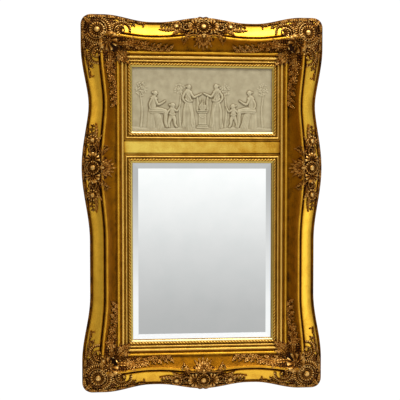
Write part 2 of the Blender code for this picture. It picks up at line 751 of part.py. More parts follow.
def relief_plaque(finish, parts, cutters):
    """Cast slab with a low relief frieze."""
    bm = block(PLATE_WIDTH, PLAQUE_HEIGHT, SEAT, SEAT + PLAQUE_THICK, PLAQUE_Z)
    slab = add_object("relief_plaque", bm, finish, parts)
    foot = PLAQUE_Z - PLAQUE_OPEN / 2
    work = Carving(
        PLAQUE_OPEN / PLAQUE_UNITS,
        lambda u, v: (u, foot + v),
        lambda x, z: SEAT + PLAQUE_THICK,
        RELIEF_SINK,
    )
    frieze(work)
    figures = add_object("frieze_figures", work.bm, finish, cutters)
    hide_cutter(figures)
    fuse(figures, RELIEF_GRAIN)
    thin_out(figures, RELIEF_FACES)
    join = slab.modifiers.new("join", "BOOLEAN")
    join.operation = "UNION"
    join.object = figures
    join.solver = "MANIFOLD"
    settle(slab)
    drop_crumbs(slab)


def block(size_x, size_z, depth_back, depth_front, mid_z):
    bm = bmesh.new()
    bmesh.ops.create_cube(bm, size=1.0)
    bmesh.ops.scale(bm, verts=bm.verts, vec=(size_x, depth_front - depth_back, size_z))
    bmesh.ops.translate(bm, verts=bm.verts, vec=(0, -(depth_front + depth_back) / 2, mid_z))
    return bm


def crossbar(finish, parts):
    """Flat rail with a groove and a low edge along the top and the bottom."""
    half_x = HALF_X + SIGHT_WIDTH
    low = CROSSBAR_DEPTH - CROSSBAR_GROOVE
    edge = CROSSBAR_WIDTH / 2
    profile = [(-edge, SEAT), (-edge, low), (-edge + CROSSBAR_EDGE, low)]
    profile += [(-edge + 2 * CROSSBAR_EDGE, CROSSBAR_DEPTH), (edge - 2 * CROSSBAR_EDGE, CROSSBAR_DEPTH)]
    profile += [(edge - CROSSBAR_EDGE, low), (edge, low), (edge, SEAT)]
    rings = [[Vector((x, -depth, CROSSBAR_Z + out)) for out, depth in profile] for x in (-half_x, half_x)]
    add_object("crossbar", loft(rings), finish, parts)


def backboard(finish, parts):
    reach = RAIL_IN + BOARD_LAP - GAP
    bm = block(2 * (HALF_X + reach), 2 * (HALF_Z + reach), 0.0, BOARD_THICK, 0.0)
    add_object("backboard", bm, finish, parts)


def mirror_plate(finish, parts):
    """Glass plate whose front edge is ground to a wide shallow bevel."""
    bm = block(PLATE_WIDTH, PLATE_HEIGHT, SEAT, SEAT + PLATE_THICK, MIRROR_Z)
    front = min(bm.faces, key=lambda face: face.calc_center_median().y)
    bmesh.ops.inset_region(bm, faces=[front], thickness=BEVEL_WIDTH, use_even_offset=True)
    inner = set(front.verts)
    rim = [v for v in bm.verts if v.co.y < -SEAT - PLATE_THICK / 2 and v not in inner]
    bmesh.ops.translate(bm, verts=rim, vec=(0, BEVEL_DROP, 0))
    add_object("mirror_plate", bm, finish, parts)


def build():
    clear_scene()
    parts = new_collection("wall_mirror")
    cutters = new_collection("cutters")
    gilt = material("burnished_gilding", (0.62, 0.40, 0.09), 0.32, 0.9)
    antique = material("antique_gilding", (0.30, 0.18, 0.05), 0.45, 0.8)
    stone = material("cast_stone", (0.62, 0.55, 0.38), 0.8, 0.0)
    silvered = material("silvered_glass", (0.85, 0.87, 0.87), 0.03, 1.0)
    board = material("backing_board", (0.33, 0.22, 0.13), 0.8, 0.0)
    ends = {"top": 1, "bottom": -1}
    flanks = {"left": -1, "right": 1}
    beds = {}
    for side in (*ends, *flanks):
        add_object("moulding_" + side, outer_length(side, rail_section, GAP), gilt, parts)
        bm = straight_length(side, liner_section(), HALF_X, HALF_Z, 0.0, GAP)
        add_object("liner_" + side, bm, gilt, parts)
        bm = straight_length(side, sight_section(), HALF_X, PLAQUE_OPEN / 2, PLAQUE_Z, GAP)
        add_object("plaque_sight_" + side, bm, gilt, parts)
        bm = straight_length(side, sight_section(), HALF_X, MIRROR_OPEN / 2, MIRROR_Z, GAP)
        add_object("mirror_sight_" + side, bm, gilt, parts)
        beds[side] = frame_bed(side, gilt, cutters)
    crossbar(gilt, parts)
    backboard(board, parts)
    mirror_plate(silvered, parts)
    relief_plaque(stone, parts, cutters)

    def fit(name, work, faces, sides):
        made = add_object(name, work.bm, antique, parts)
        home_x, home_z = work.place(HOME_ALONG, 0.0)
        fit_to_frame(made, faces, [beds[side] for side in sides], Vector((home_x, 0.0, home_z)))

    for end, sign_z in ends.items():
        for flank, sign_x in flanks.items():
            work = corner_ornament(sign_x, sign_z)
            fit("corner_ornament_" + end + "_" + flank, work, CORNER_FACES, (end, flank))
    for end, sign in ends.items():
        work = centre_ornament(END_UNIT, lambda u, v, s=sign: (u, s * (HALF_Z + v)), end_width)
        fit("centre_ornament_" + end, work, CENTRE_FACES, (end,))
    for flank, sign in flanks.items():
        work = centre_ornament(
            SIDE_UNIT,
            lambda u, v, s=sign: (s * (HALF_X + v), SIDE_SWELL_HEIGHT + u),
            lambda u: side_width(SIDE_SWELL_HEIGHT + u),
        )
        fit("centre_ornament_" + flank, work, CENTRE_FACES, (flank,))


build()
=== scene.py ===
import random
from math import atan2, cos, exp, hypot, pi, radians, sin, sqrt

import bmesh
import bpy
import numpy as np
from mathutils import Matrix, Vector


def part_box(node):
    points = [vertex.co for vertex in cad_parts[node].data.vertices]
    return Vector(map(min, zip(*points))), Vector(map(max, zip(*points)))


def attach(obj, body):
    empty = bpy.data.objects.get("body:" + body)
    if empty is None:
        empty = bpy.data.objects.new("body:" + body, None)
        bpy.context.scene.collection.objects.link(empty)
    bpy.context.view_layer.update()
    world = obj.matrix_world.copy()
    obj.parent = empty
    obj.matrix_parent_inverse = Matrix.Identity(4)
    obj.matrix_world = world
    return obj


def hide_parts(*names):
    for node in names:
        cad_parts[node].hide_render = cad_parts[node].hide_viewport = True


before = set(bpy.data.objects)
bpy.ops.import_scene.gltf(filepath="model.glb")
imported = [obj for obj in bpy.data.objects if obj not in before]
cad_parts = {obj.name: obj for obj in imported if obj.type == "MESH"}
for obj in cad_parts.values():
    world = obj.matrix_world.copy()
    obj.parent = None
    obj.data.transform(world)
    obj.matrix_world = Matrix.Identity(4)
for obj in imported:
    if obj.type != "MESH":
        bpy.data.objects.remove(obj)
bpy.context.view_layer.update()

# Outer moulding
# Four lengths of limewood run to the swept outline, mitred, coated with gesso and red clay and
# covered with metal leaf. The leaf is burnished on the panel and toned brown in the hollows.
MM = 0.001
HALF_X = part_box("mirror_sight_right")[0].x / MM
HALF_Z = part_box("plaque_sight_top")[0].z / MM
SEAT = 6.3
RAIL_IN = 31.3
BOARD_LAP = 10.0
BEAD_IN, BEAD_OUT = 34.8, 42.8
BEAD_FLOOR, BEAD_CENTRE, BEAD_RISE = 20.0, 23.3, 3.7
COVE_FOOT, COVE_CURVE = 23.5, 1.7
RIDGE_PLACE, RIDGE_HALF, RIDGE_SHOULDER, RIDGE_RISE = 67.5, 4.2, 53.0, 5.0
RIDGE_FOLLOW = 0.6
GROOVE_OUT, GROOVE_DEPTH, PANEL_START = 7.0, 47.5, 10.0
PANEL_HIGH, PANEL_LOW, PANEL_LEAN = 50.0, 34.0, 0.44
RIM_WIDTH, RIM_CENTRE, RIM_RISE, RIM_EDGE = 6.0, 32.5, 3.0, 27.0
BACK_INSET = 7.0
CORNER_WIDTH, CORNER_RADIUS = 138.0, 28.0
SIDE_WAIST, SIDE_SWELL, SIDE_SWELL_HEIGHT = 115.5, 137.0, 100.0
SIDE_SWELL_REACH, SIDE_CORNER_REACH, SIDE_CORNER_START = 200.0, 185.0, 55.0
END_WAIST, END_SWELL = 119.0, 133.5
END_SWELL_REACH, END_CORNER_REACH, END_CORNER_START = 125.0, 130.0, 78.0
STATION, END_CROWDING = 8.0, 0.07
MITRE_GAP, WELD, CREASE_ANGLE = 0.2, 0.0005, 38
OUTWARD = {"top": (0, 1), "bottom": (0, -1), "left": (-1, 0), "right": (1, 0)}


def swell(distance, reach):
    return np.where(np.abs(distance) < reach, (1 + np.cos(pi * distance / reach)) / 2, 0.0)


def side_width(z):
    corner = swell(np.maximum(HALF_Z + SIDE_CORNER_START - np.abs(z), 0.0), SIDE_CORNER_REACH)
    middle = swell(z - SIDE_SWELL_HEIGHT, SIDE_SWELL_REACH)
    return SIDE_WAIST + (CORNER_WIDTH - SIDE_WAIST) * corner + (SIDE_SWELL - SIDE_WAIST) * middle


def end_width(x):
    corner = swell(np.maximum(HALF_X + END_CORNER_START - np.abs(x), 0.0), END_CORNER_REACH)
    middle = swell(x, END_SWELL_REACH)
    return END_WAIST + (CORNER_WIDTH - END_WAIST) * corner + (END_SWELL - END_WAIST) * middle


def corner_cut(along, half):
    past = np.clip(np.abs(along) - (half + CORNER_WIDTH - CORNER_RADIUS), 0.0, CORNER_RADIUS)
    return CORNER_RADIUS - np.sqrt(CORNER_RADIUS ** 2 - past ** 2)


def dome(place, centre, half):
    return np.sqrt(np.clip(1 - ((place - centre) / half) ** 2, 0.0, 1.0))


def rail_depth(out, width, cut):
    """How far the moulding's face stands off the wall, from its place out from the sight."""
    ridge = RIDGE_PLACE + RIDGE_FOLLOW * (width - SIDE_WAIST)
    edge = width - cut
    cove_end, panel, panel_end = ridge - RIDGE_HALF, ridge + PANEL_START, edge - RIM_WIDTH
    rise = np.clip((out - BEAD_OUT) / (cove_end - BEAD_OUT), 0.0, 1.0) ** COVE_CURVE
    down = np.clip((out - panel) / np.maximum(panel_end - panel, 1.0), 0.0, 1.0)
    down = PANEL_LEAN * down + (1 - PANEL_LEAN) * down ** 2
    bead = BEAD_CENTRE + BEAD_RISE * dome(out, (BEAD_IN + BEAD_OUT) / 2, (BEAD_OUT - BEAD_IN) / 2)
    top = RIDGE_SHOULDER + RIDGE_RISE * dome(out, ridge, RIDGE_HALF)
    valley = np.clip(np.abs(out - ridge - GROOVE_OUT) / (PANEL_START - GROOVE_OUT), 0.0, 1.0)
    rim = RIM_CENTRE + RIM_RISE * dome(out, edge - RIM_WIDTH / 2, RIM_WIDTH / 2)
    return np.select(
        [
            out < BEAD_IN, out < BEAD_OUT, out < cove_end,
            out < ridge + RIDGE_HALF, out < panel, out < panel_end,
        ],
        [
            BEAD_FLOOR + 0 * out,
            bead,
            COVE_FOOT + (RIDGE_SHOULDER - COVE_FOOT) * rise,
            top,
            GROOVE_DEPTH + (PANEL_HIGH - GROOVE_DEPTH) * valley,
            PANEL_HIGH - (PANEL_HIGH - PANEL_LOW) * down,
        ],
        np.where(out < edge - 0.01, rim, RIM_EDGE),
    )


def rail_tone(out, width, cut):
    """How brown the toning has stayed: it is wiped off what stands proud. The dark outer rim is partly patina
    and partly painted shade.
    """
    ridge = RIDGE_PLACE + RIDGE_FOLLOW * (width - SIDE_WAIST)
    edge = width - cut
    marks = [RAIL_IN, BEAD_IN - 0.5, BEAD_IN + 1.5, BEAD_OUT - 2, BEAD_OUT + 1, BEAD_OUT + 6]
    tones = [0.85, 0.85, 0.1, 0.2, 0.95, 0.78]
    marks += [ridge - 8, ridge - 3, ridge, ridge + 3, ridge + 5, ridge + 9, ridge + 11]
    tones += [0.72, 0.5, 0.12, 0.4, 1.0, 1.0, 0.0]
    # the outer rim is dark brown: partly patina, partly painted shade where it rounds off to the side
    marks += [edge - 9, edge - 5, edge]
    tones += [0.1, 0.95, 0.85]
    return np.interp(out, marks, tones)


def rail_outs(width, cut):
    """Places across the moulding's face, closest together where it turns."""
    ridge = RIDGE_PLACE + RIDGE_FOLLOW * (width - SIDE_WAIST)
    edge = width - cut
    panel, panel_end = ridge + PANEL_START, edge - RIM_WIDTH
    turn = [(1 - cos(pi * i / 8)) / 2 for i in range(9)]
    outs = [RAIL_IN, BEAD_IN - 0.05]
    outs += [BEAD_IN + (BEAD_OUT - BEAD_IN) * s for s in turn]
    outs += [BEAD_OUT + (ridge - RIDGE_HALF - BEAD_OUT) * i / 12 for i in range(1, 13)]
    outs += [ridge - RIDGE_HALF + 2 * RIDGE_HALF * s for s in turn[1:]]
    outs += [ridge + 6, ridge + GROOVE_OUT, ridge + 8, panel - 0.2]
    outs += [panel + (panel_end - panel) * i / 12 for i in range(13)]
    outs += [panel_end + RIM_WIDTH * s for s in turn[1:]]
    return outs


def place_on(side, along, out, depth, half_x, half_z, mid_z):
    """A point of a length of moulding on one side of an opening."""
    step_x, step_z = OUTWARD[side]
    if step_x:
        return Vector((step_x * (half_x + out), -depth, mid_z + along))
    return Vector((along, -depth, mid_z + step_z * (half_z + out)))


def mitre(bm, side, half_x, half_z, mid_z):
    """Saw both ends at 45 degrees through the corners of the opening, and close the cuts."""
    step_x, step_z = OUTWARD[side]
    for end in (-1, 1):
        at_x = step_x * half_x + (0 if step_x else end * half_x)
        at_z = step_z * half_z + (0 if step_z else end * half_z)
        keep = Vector((step_x or -end, 0, step_z or -end)).normalized()
        point = Vector((at_x, 0, mid_z + at_z)) + keep * MITRE_GAP / 2
        geometry = bm.verts[:] + bm.edges[:] + bm.faces[:]
        cut = bmesh.ops.bisect_plane(bm, geom=geometry, plane_co=point, plane_no=keep, clear_inner=True)
        rim = [item for item in cut["geom_cut"] if isinstance(item, bmesh.types.BMEdge)]
        bmesh.ops.edgeloop_fill(bm, edges=rim)


def start_piece():
    """An empty mesh whose points also say how brown they are."""
    bm = bmesh.new()
    return bm, bm.verts.layers.float.new("tone")


def add_sheet(bm, steps_s, steps_t, place, tone):
    """Lay a grid by place(s, t), which gives a point and how brown it is, and weld its seams."""
    made = bmesh.ops.create_grid(bm, x_segments=steps_s, y_segments=steps_t, size=1.0)["verts"]
    for v in made:
        v.co, v[tone] = place((v.co.x + 1) / 2, (v.co.y + 1) / 2)
    bmesh.ops.remove_doubles(bm, verts=made, dist=WELD)
    return [v for v in made if v.is_valid]


def add_length(bm, side, steps, section, half_x, half_z, mid_z, tone):
    """Run a closed section of (out, depth, tone) along one side; section(along) gives its points."""
    reach = (half_z if OUTWARD[side][0] else half_x) + CORNER_WIDTH
    stations = {}

    def place(s, t):
        # the stations crowd towards both ends, where the outline turns the corner
        along = -reach + 2 * reach * (s - END_CROWDING * sin(2 * pi * s))
        if along not in stations:
            stations[along] = section(along)
        points = stations[along]
        out, depth, brown = points[round(t * len(points)) % len(points)]
        return place_on(side, along, out, depth, half_x, half_z, mid_z), brown

    return add_sheet(bm, steps, len(section(0.0)), place, tone)


def add_piece(name, bm, materials, replaced):
    """Make a finished bmesh, drawn in millimetres, an object that takes the place of CAD nodes."""
    bmesh.ops.scale(bm, vec=(MM, MM, MM), verts=bm.verts)
    bmesh.ops.recalc_face_normals(bm, faces=bm.faces)
    mesh = bpy.data.meshes.new(name)
    bm.to_mesh(mesh)
    bm.free()
    for finish in materials:
        mesh.materials.append(finish)
    mesh.shade_smooth()
    mesh.set_sharp_from_angle(angle=radians(CREASE_ANGLE))
    piece = bpy.data.objects.new(name, mesh)
    bpy.context.scene.collection.objects.link(piece)
    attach(piece, "root")
    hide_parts(*replaced)
    return piece


def srgb(code):
    """An sRGB hex colour as linear values."""
    parts = [int(code[i:i + 2], 16) / 255 for i in (0, 2, 4)]
    return (*[c / 12.92 if c <= 0.04045 else ((c + 0.055) / 1.055) ** 2.4 for c in parts], 1.0)


def add_node(tree, kind, settings=(), links=()):
    """Add a shader node. Settings and links go by property name, socket name or socket number."""
    node = tree.nodes.new(kind)
    for name, value in dict(settings).items():
        if isinstance(name, str) and hasattr(node, name):
            setattr(node, name, value)
        else:
            node.inputs[name].default_value = value
    for name, source in dict(links).items():
        tree.links.new(source, node.inputs[name])
    return node


def start_finish(name):
    """A new material, with its node tree and its shader."""
    made = bpy.data.materials.new(name)
    made.use_nodes = True
    return made, made.node_tree, made.node_tree.nodes["Principled BSDF"]


def gilding(name, bright, dull, brown, dark, gloss, cloud, worn):
    """Metal leaf over red clay: bright where burnished, brown where the toning stayed."""
    made, tree, shader = start_finish(name)
    where = add_node(tree, "ShaderNodeTexCoord").outputs["Object"]
    tone = add_node(tree, "ShaderNodeAttribute", {"attribute_name": "tone"}).outputs["Fac"]
    # clouds 25 mm wide are uneven toning, rubs 3 mm wide are where cloths have worn it
    noise = "ShaderNodeTexNoise"
    spread = "ShaderNodeMapRange"
    maths = "ShaderNodeMath"
    mix = "ShaderNodeMix"
    clouds = add_node(tree, noise, {"Scale": 40.0, "Detail": 3.0}, {"Vector": where})
    clouds = add_node(
        tree, spread, {"From Min": 0.3, "From Max": 0.7, "To Min": -cloud, "To Max": cloud},
        {"Value": clouds.outputs["Fac"]}
    )
    rubs = add_node(tree, noise, {"Scale": 330.0, "Detail": 4.0, "Roughness": 0.6}, {"Vector": where})
    rubs = add_node(
        tree, spread, {"From Min": 0.3, "From Max": 0.7, "To Min": -worn, "To Max": worn},
        {"Value": rubs.outputs["Fac"]}
    )
    uneven = add_node(tree, maths, {"operation": "ADD"}, {0: clouds.outputs[0], 1: rubs.outputs[0]})
    toned = add_node(tree, maths, {"operation": "ADD", "use_clamp": True}, {0: tone, 1: uneven.outputs[0]})
    toned = toned.outputs[0]
    step = add_node(tree, spread, {"From Min": 0.0, "From Max": 0.35}, {"Value": toned})
    colour = add_node(
        tree, mix, {"data_type": "RGBA", 6: srgb(bright), 7: srgb(dull)}, {0: step.outputs[0]}
    )
    for code, start, end in ((brown, 0.3, 0.72), (dark, 0.75, 1.0)):
        step = add_node(tree, spread, {"From Min": start, "From Max": end}, {"Value": toned})
        colour = add_node(
            tree, mix, {"data_type": "RGBA", 7: srgb(code)}, {0: step.outputs[0], 6: colour.outputs[2]}
        )
    # pits under a millimetre, where brown wax has caught in the gesso
    pits = add_node(tree, noise, {"Scale": 1100.0, "Detail": 2.0}, {"Vector": where})
    pits = add_node(
        tree, spread, {"From Min": 0.62, "From Max": 0.78, "To Max": 0.3}, {"Value": pits.outputs["Fac"]}
    )
    colour = add_node(
        tree, mix, {"data_type": "RGBA", 7: srgb(brown)}, {0: pits.outputs[0], 6: colour.outputs[2]}
    )
    tree.links.new(colour.outputs[2], shader.inputs["Base Color"])
    rough = add_node(tree, spread, {"To Min": gloss, "To Max": gloss + 0.26}, {"Value": toned})
    tree.links.new(rough.outputs[0], shader.inputs["Roughness"])
    metal = add_node(tree, spread, {"From Min": 0.5, "To Min": 1.0, "To Max": 0.94}, {"Value": toned})
    tree.links.new(metal.outputs[0], shader.inputs["Metallic"])
    ripple = add_node(tree, noise, {"Scale": 170.0, "Detail": 4.0, "Roughness": 0.5}, {"Vector": where})
    bump = add_node(
        tree, "ShaderNodeBump", {"Strength": 0.16, "Distance": 0.0005}, {"Height": ripple.outputs["Fac"]}
    )
    tree.links.new(bump.outputs["Normal"], shader.inputs["Normal"])
    return made


# Burnished leaf: a warm yellow metal with soft broad highlights, brown in every quirk
burnished_leaf = gilding("burnished_metal_leaf", "F0BC3C", "C4861F", "8E5A06", "2A1302", 0.36, 0.10, 0.08)


def bare_wood(name, pale, deep, streaks, detail, swirl, rough, furrow):
    """Planed wood. Its grain runs in streaks, given as how many to the metre along each axis."""
    made, tree, shader = start_finish(name)
    where = add_node(tree, "ShaderNodeTexCoord").outputs["Object"]
    grain = add_node(tree, "ShaderNodeMapping", {"Scale": streaks}, {"Vector": where})
    grain = add_node(
        tree, "ShaderNodeTexNoise", {"Scale": 1.0, "Detail": detail, "Distortion": swirl},
        {"Vector": grain.outputs["Vector"]}
    ).outputs["Fac"]
    step = add_node(tree, "ShaderNodeMapRange", {"From Min": 0.3, "From Max": 0.7}, {"Value": grain})
    colour = add_node(
        tree, "ShaderNodeMix", {"data_type": "RGBA", 6: srgb(pale), 7: srgb(deep)}, {0: step.outputs[0]}
    )
    tree.links.new(colour.outputs[2], shader.inputs["Base Color"])
    shader.inputs["Roughness"].default_value = rough
    bump = add_node(
        tree, "ShaderNodeBump", {"Strength": furrow, "Distance": furrow * MM}, {"Height": grain}
    )
    tree.links.new(bump.outputs["Normal"], shader.inputs["Normal"])
    return made


# Bare limewood: pale brown and matt, its grain in streaks about 4 mm across
LIME_PALE, LIME_DEEP, LIME_ACROSS, LIME_ALONG = "8F6B42", "B9945F", 250.0, 9.0
upright_limewood = bare_wood(
    "upright_limewood", LIME_PALE, LIME_DEEP, (LIME_ACROSS, LIME_ACROSS, LIME_ALONG), 5.0, 0.3, 0.7, 0.3
)
level_limewood = bare_wood(
    "level_limewood", LIME_PALE, LIME_DEEP, (LIME_ALONG, LIME_ACROSS, LIME_ACROSS), 5.0, 0.3, 0.7, 0.3
)

for side in OUTWARD:
    is_end = side in ("top", "bottom")
    half, width_at = (HALF_X, end_width) if is_end else (HALF_Z, side_width)

    def rail_section(along):
        width, cut = float(width_at(along)), float(corner_cut(along, half))
        outs = np.array(rail_outs(width, cut))
        face = list(zip(outs, rail_depth(outs, width, cut), rail_tone(outs, width, cut)))
        back = [(width - cut - BACK_INSET, 0.0, 0.8), (RAIL_IN + BOARD_LAP, 0.0, 0.8)]
        return face + back + [(RAIL_IN + BOARD_LAP, SEAT, 0.8), (RAIL_IN, SEAT, 0.8)]

    bm, tone = start_piece()
    steps = round(2 * (half + CORNER_WIDTH) / STATION)
    add_length(bm, side, steps, rail_section, HALF_X, HALF_Z, 0.0, tone)
    mitre(bm, side, HALF_X, HALF_Z, 0.0)
    for face in bm.faces:
        if all(-v.co.y < SEAT + 0.1 for v in face.verts):
            face.material_index = 1
    name = "moulding_" + side
    bare = level_limewood if is_end else upright_limewood
    add_piece(name + "_gilt", bm, [burnished_leaf, bare], [name])

# Bead liner
# A half-round bead of gilded limewood, mitred round both openings between the sight mouldings
# and the outer moulding, and glued into the rebate.
LINER_IN, LINER_OUT = 22.7, 31.0
LINER_FOOT, LINER_RISE = 19.0, 4.5

# Rubbed leaf: the narrow beads are handled and dusted most, so their leaf is thin and paler
rubbed_leaf = gilding("rubbed_metal_leaf", "FAD06C", "D8A43E", "A06E18", "301804", 0.36, 0.05, 0.05)

liner = [(LINER_OUT, SEAT, 1.0), (LINER_IN, SEAT, 1.0), (LINER_IN, LINER_FOOT - 1.5, 1.0)]
for i in range(11):
    turn = pi * i / 10
    out = (LINER_IN + LINER_OUT) / 2 - (LINER_OUT - LINER_IN) / 2 * cos(turn)
    liner.append((out, LINER_FOOT + LINER_RISE * sin(turn), 0.85 - 0.7 * sin(turn) ** 0.6))
liner.append((LINER_OUT, LINER_FOOT - 1.5, 1.0))

for side in OUTWARD:
    bm, tone = start_piece()
    add_length(bm, side, 50, lambda along: liner, HALF_X, HALF_Z, 0.0, tone)
    mitre(bm, side, HALF_X, HALF_Z, 0.0)
    name = "liner_" + side
    add_piece(name + "_gilt", bm, [rubbed_leaf], [name])

# Sight mouldings
# Mitred lengths of gilded limewood round the plaque and round the glass: a plain fillet, a rope
# bead of two strands carved in its bed, and a reed. The rebate behind the fillet holds the plate.
SIGHT_LIP = 11.22
REBATE = 10.0
SIGHT_END = 22.4
ROPE_OUT, ROPE_SINK, ROPE_RADIUS = 7.75, 6.7, 3.1
ROPE_PITCH = 8.6
REED_OUT, REED_HALF = 16.7, 2.5
plaque_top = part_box("plaque_sight_top")[0].z / MM
plaque_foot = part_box("plaque_sight_bottom")[1].z / MM
mirror_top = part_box("mirror_sight_top")[0].z / MM
mirror_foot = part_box("mirror_sight_bottom")[1].z / MM

sight = [(0.0, 0.0, 0.7), (0.0, 4.6, 0.3), (0.5, 5.3, 0.0), (4.0, 7.3, 0.0), (4.4, 7.3, 0.1), (4.8, 6.8, 0.9)]
sight += [(5.2, 5.9, 1.0), (10.6, 5.9, 0.9), (REED_OUT - REED_HALF, 5.8, 0.9)]
for i in range(9):
    turn = pi * i / 8
    sight.append((REED_OUT - REED_HALF * cos(turn), 6 + 4 * sin(turn), 0.8 - 0.65 * sin(turn)))
sight += [(REED_OUT + REED_HALF + 0.2, 5.8, 0.8), (SIGHT_END, 6.0, 0.8)]
sight = [(out, SIGHT_LIP + rise, brown) for out, rise, brown in sight]
sight += [(SIGHT_END, SEAT, 1.0), (REBATE, SEAT, 1.0), (REBATE, SIGHT_LIP, 1.0)]


def rope_section(along):
    """One round of the rope, whose two strands turn as it runs along."""
    points = []
    for i in range(10):
        turn = 2 * pi * i / 10
        strand = abs(sin(pi * (along / ROPE_PITCH + turn / pi)))
        radius = ROPE_RADIUS * (0.62 + 0.38 * strand ** 0.7)
        depth = SIGHT_LIP + ROPE_SINK + radius * sin(turn)
        points.append((ROPE_OUT + radius * cos(turn), depth, 1.1 - 1.1 * strand ** 1.5))
    return points


# Shaded fillet leaf: the fillets at the top and the sides of each opening are painted as in shade, a duller,
# greener gold
shaded_fillet_leaf = gilding("painted_shade_metal_leaf", "CDB25C", "A88638", "7A5418", "2A1403", 0.32, 0.05, 0.05)
# Lit fillet leaf: the fillet under each opening faces up and is painted as lit, a pale gold that stands for
# its painted highlight
lit_fillet_leaf = gilding("painted_highlight_metal_leaf", "F6DC98", "D9B36A", "8A5A20", "2A1403", 0.34, 0.05, 0.05)

for opening, low, high in (("plaque", plaque_foot, plaque_top), ("mirror", mirror_foot, mirror_top)):
    half_z, mid_z = (high - low) / 2, (high + low) / 2
    for side in OUTWARD:
        bm = bmesh.new()
        tone = bm.verts.layers.float.new("tone")
        reach = (half_z if OUTWARD[side][0] else HALF_X) + SIGHT_END

        def run(steps, section):
            def place(s, t):
                points = section(-reach + 2 * reach * s)
                out, depth, brown = points[round(t * len(points)) % len(points)]
                return place_on(side, -reach + 2 * reach * s, out, depth, HALF_X, half_z, mid_z), brown
            add_sheet(bm, steps, len(section(0.0)), place, tone)

        run(12, lambda along: sight)
        run(round(2 * reach / 1.25), rope_section)
        mitre(bm, side, HALF_X, half_z, mid_z)
        for face in bm.faces:
            spot = face.calc_center_median()
            out = max(abs(spot.x) - HALF_X, abs(spot.z - mid_z) - half_z)
            if out < 4.5 and -spot.y > SIGHT_LIP + 1:
                face.material_index = 1
        name = opening + "_sight_" + side
        # the fillet under each opening gets the painted highlight, the other fillets the painted shade
        fillet_leaf = lit_fillet_leaf if side == "bottom" else shaded_fillet_leaf
        add_piece(name + "_gilt", bm, [rubbed_leaf, fillet_leaf], [name])

# Crossbar
# A flat gilded rail let in between the two openings, with a quirk and a low edge along the top
# and the bottom. Its leaf is the most rubbed of the frame.
bar_low, bar_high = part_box("crossbar")
BAR_END = bar_high.x / MM
BAR_MID = (bar_low.z + bar_high.z) / 2 / MM
BAR_EDGE = (bar_high.z - bar_low.z) / 2 / MM
BAR_FACE, BAR_QUIRK = 20.5, 17.9

half_bar = [(0.0, BAR_FACE, 0.0), (8.0, BAR_FACE, 0.0), (BAR_EDGE - 6.0, BAR_FACE, 0.05)]
half_bar += [(BAR_EDGE - 4.6, BAR_FACE - 0.2, 0.2), (BAR_EDGE - 4.2, BAR_FACE - 0.9, 0.8)]
half_bar += [(BAR_EDGE - 3.6, BAR_QUIRK, 1.0), (BAR_EDGE - 2.4, BAR_QUIRK, 1.0)]
half_bar += [(BAR_EDGE - 2.0, BAR_QUIRK + 0.9, 0.3), (BAR_EDGE - 0.8, BAR_QUIRK + 1.1, 0.2)]
half_bar += [(BAR_EDGE, BAR_QUIRK + 0.4, 0.8), (BAR_EDGE, SEAT, 1.0)]
bar = [(-out, depth, brown) for out, depth, brown in reversed(half_bar[1:])] + half_bar

bm, tone = start_piece()


def place_bar(s, t):
    x = -BAR_END + 2 * BAR_END * s
    out, depth, brown = bar[round(t * len(bar)) % len(bar)]
    # the toning has gathered where the bar meets the side beads, and the bar is darker towards the right
    ends = exp(-(BAR_END - abs(x)) / 5.0)
    return Vector((x, -depth, BAR_MID + out)), min(1.0, brown + 0.5 * ends + 0.3 * s)


add_sheet(bm, 80, len(bar), place_bar, tone)
bmesh.ops.holes_fill(bm, edges=[edge for edge in bm.edges if edge.is_boundary], sides=0)
# Crossbar leaf: rubbed thin over its gesso, so paler than the rest
pale_leaf = gilding("thin_metal_leaf", "FCDA62", "D8A030", "7C4A0C", "2A1403", 0.32, 0.10, 0.07)
add_piece("crossbar_gilt", bm, [pale_leaf], ["crossbar"])

# Backboard
# A plain softwood board, planed and stained, that closes the back and laps under the outer
# moulding. It is pinned in.
def block(node):
    """A plain block of a node's own size, in its own place."""
    low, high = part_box(node)
    bm = bmesh.new()
    bmesh.ops.create_cube(bm, size=1.0)
    bmesh.ops.scale(bm, vec=(high - low) / MM, verts=bm.verts)
    bmesh.ops.translate(bm, vec=(high + low) / 2 / MM, verts=bm.verts)
    return bm


bm = block("backboard")
bmesh.ops.bevel(
    bm, geom=bm.edges[:], offset=0.6, segments=2, profile=0.5, affect="EDGES", material=-1
)

# Stained softwood: dark brown and matt, with long upright grain about 3 mm apart
stained_softwood = bare_wood(
    "stained_softwood", "4A3119", "7C5A36", (320.0, 320.0, 9.0), 6.0, 0.4, 0.78, 0.4
)
add_piece("backboard_planed", bm, [stained_softwood], ["backboard"])

# Mirror plate
# Float glass 6 mm thick, silvered behind, its front edge ground and polished to a bevel an inch
# wide. It lies in the rebate of the sight mouldings.
BEVEL_WIDTH, BEVEL_DROP = 25.4, 2.2
glass_low, glass_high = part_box("mirror_plate")
glass_middle = (glass_high.y + glass_low.y) / 2 / MM

bm = block("mirror_plate")
front = min(bm.faces, key=lambda face: face.calc_center_median().y)
bmesh.ops.inset_region(bm, faces=[front], thickness=BEVEL_WIDTH, use_even_offset=True)
rim = [v for v in bm.verts if v.co.y < glass_middle and v not in front.verts[:]]
bmesh.ops.translate(bm, vec=(0, BEVEL_DROP, 0), verts=rim)

# Silvered glass: a clear mirror, very slightly green, with no texture of its own
silvered_glass, tree, shader = start_finish("silvered_glass")
where = add_node(tree, "ShaderNodeTexCoord")
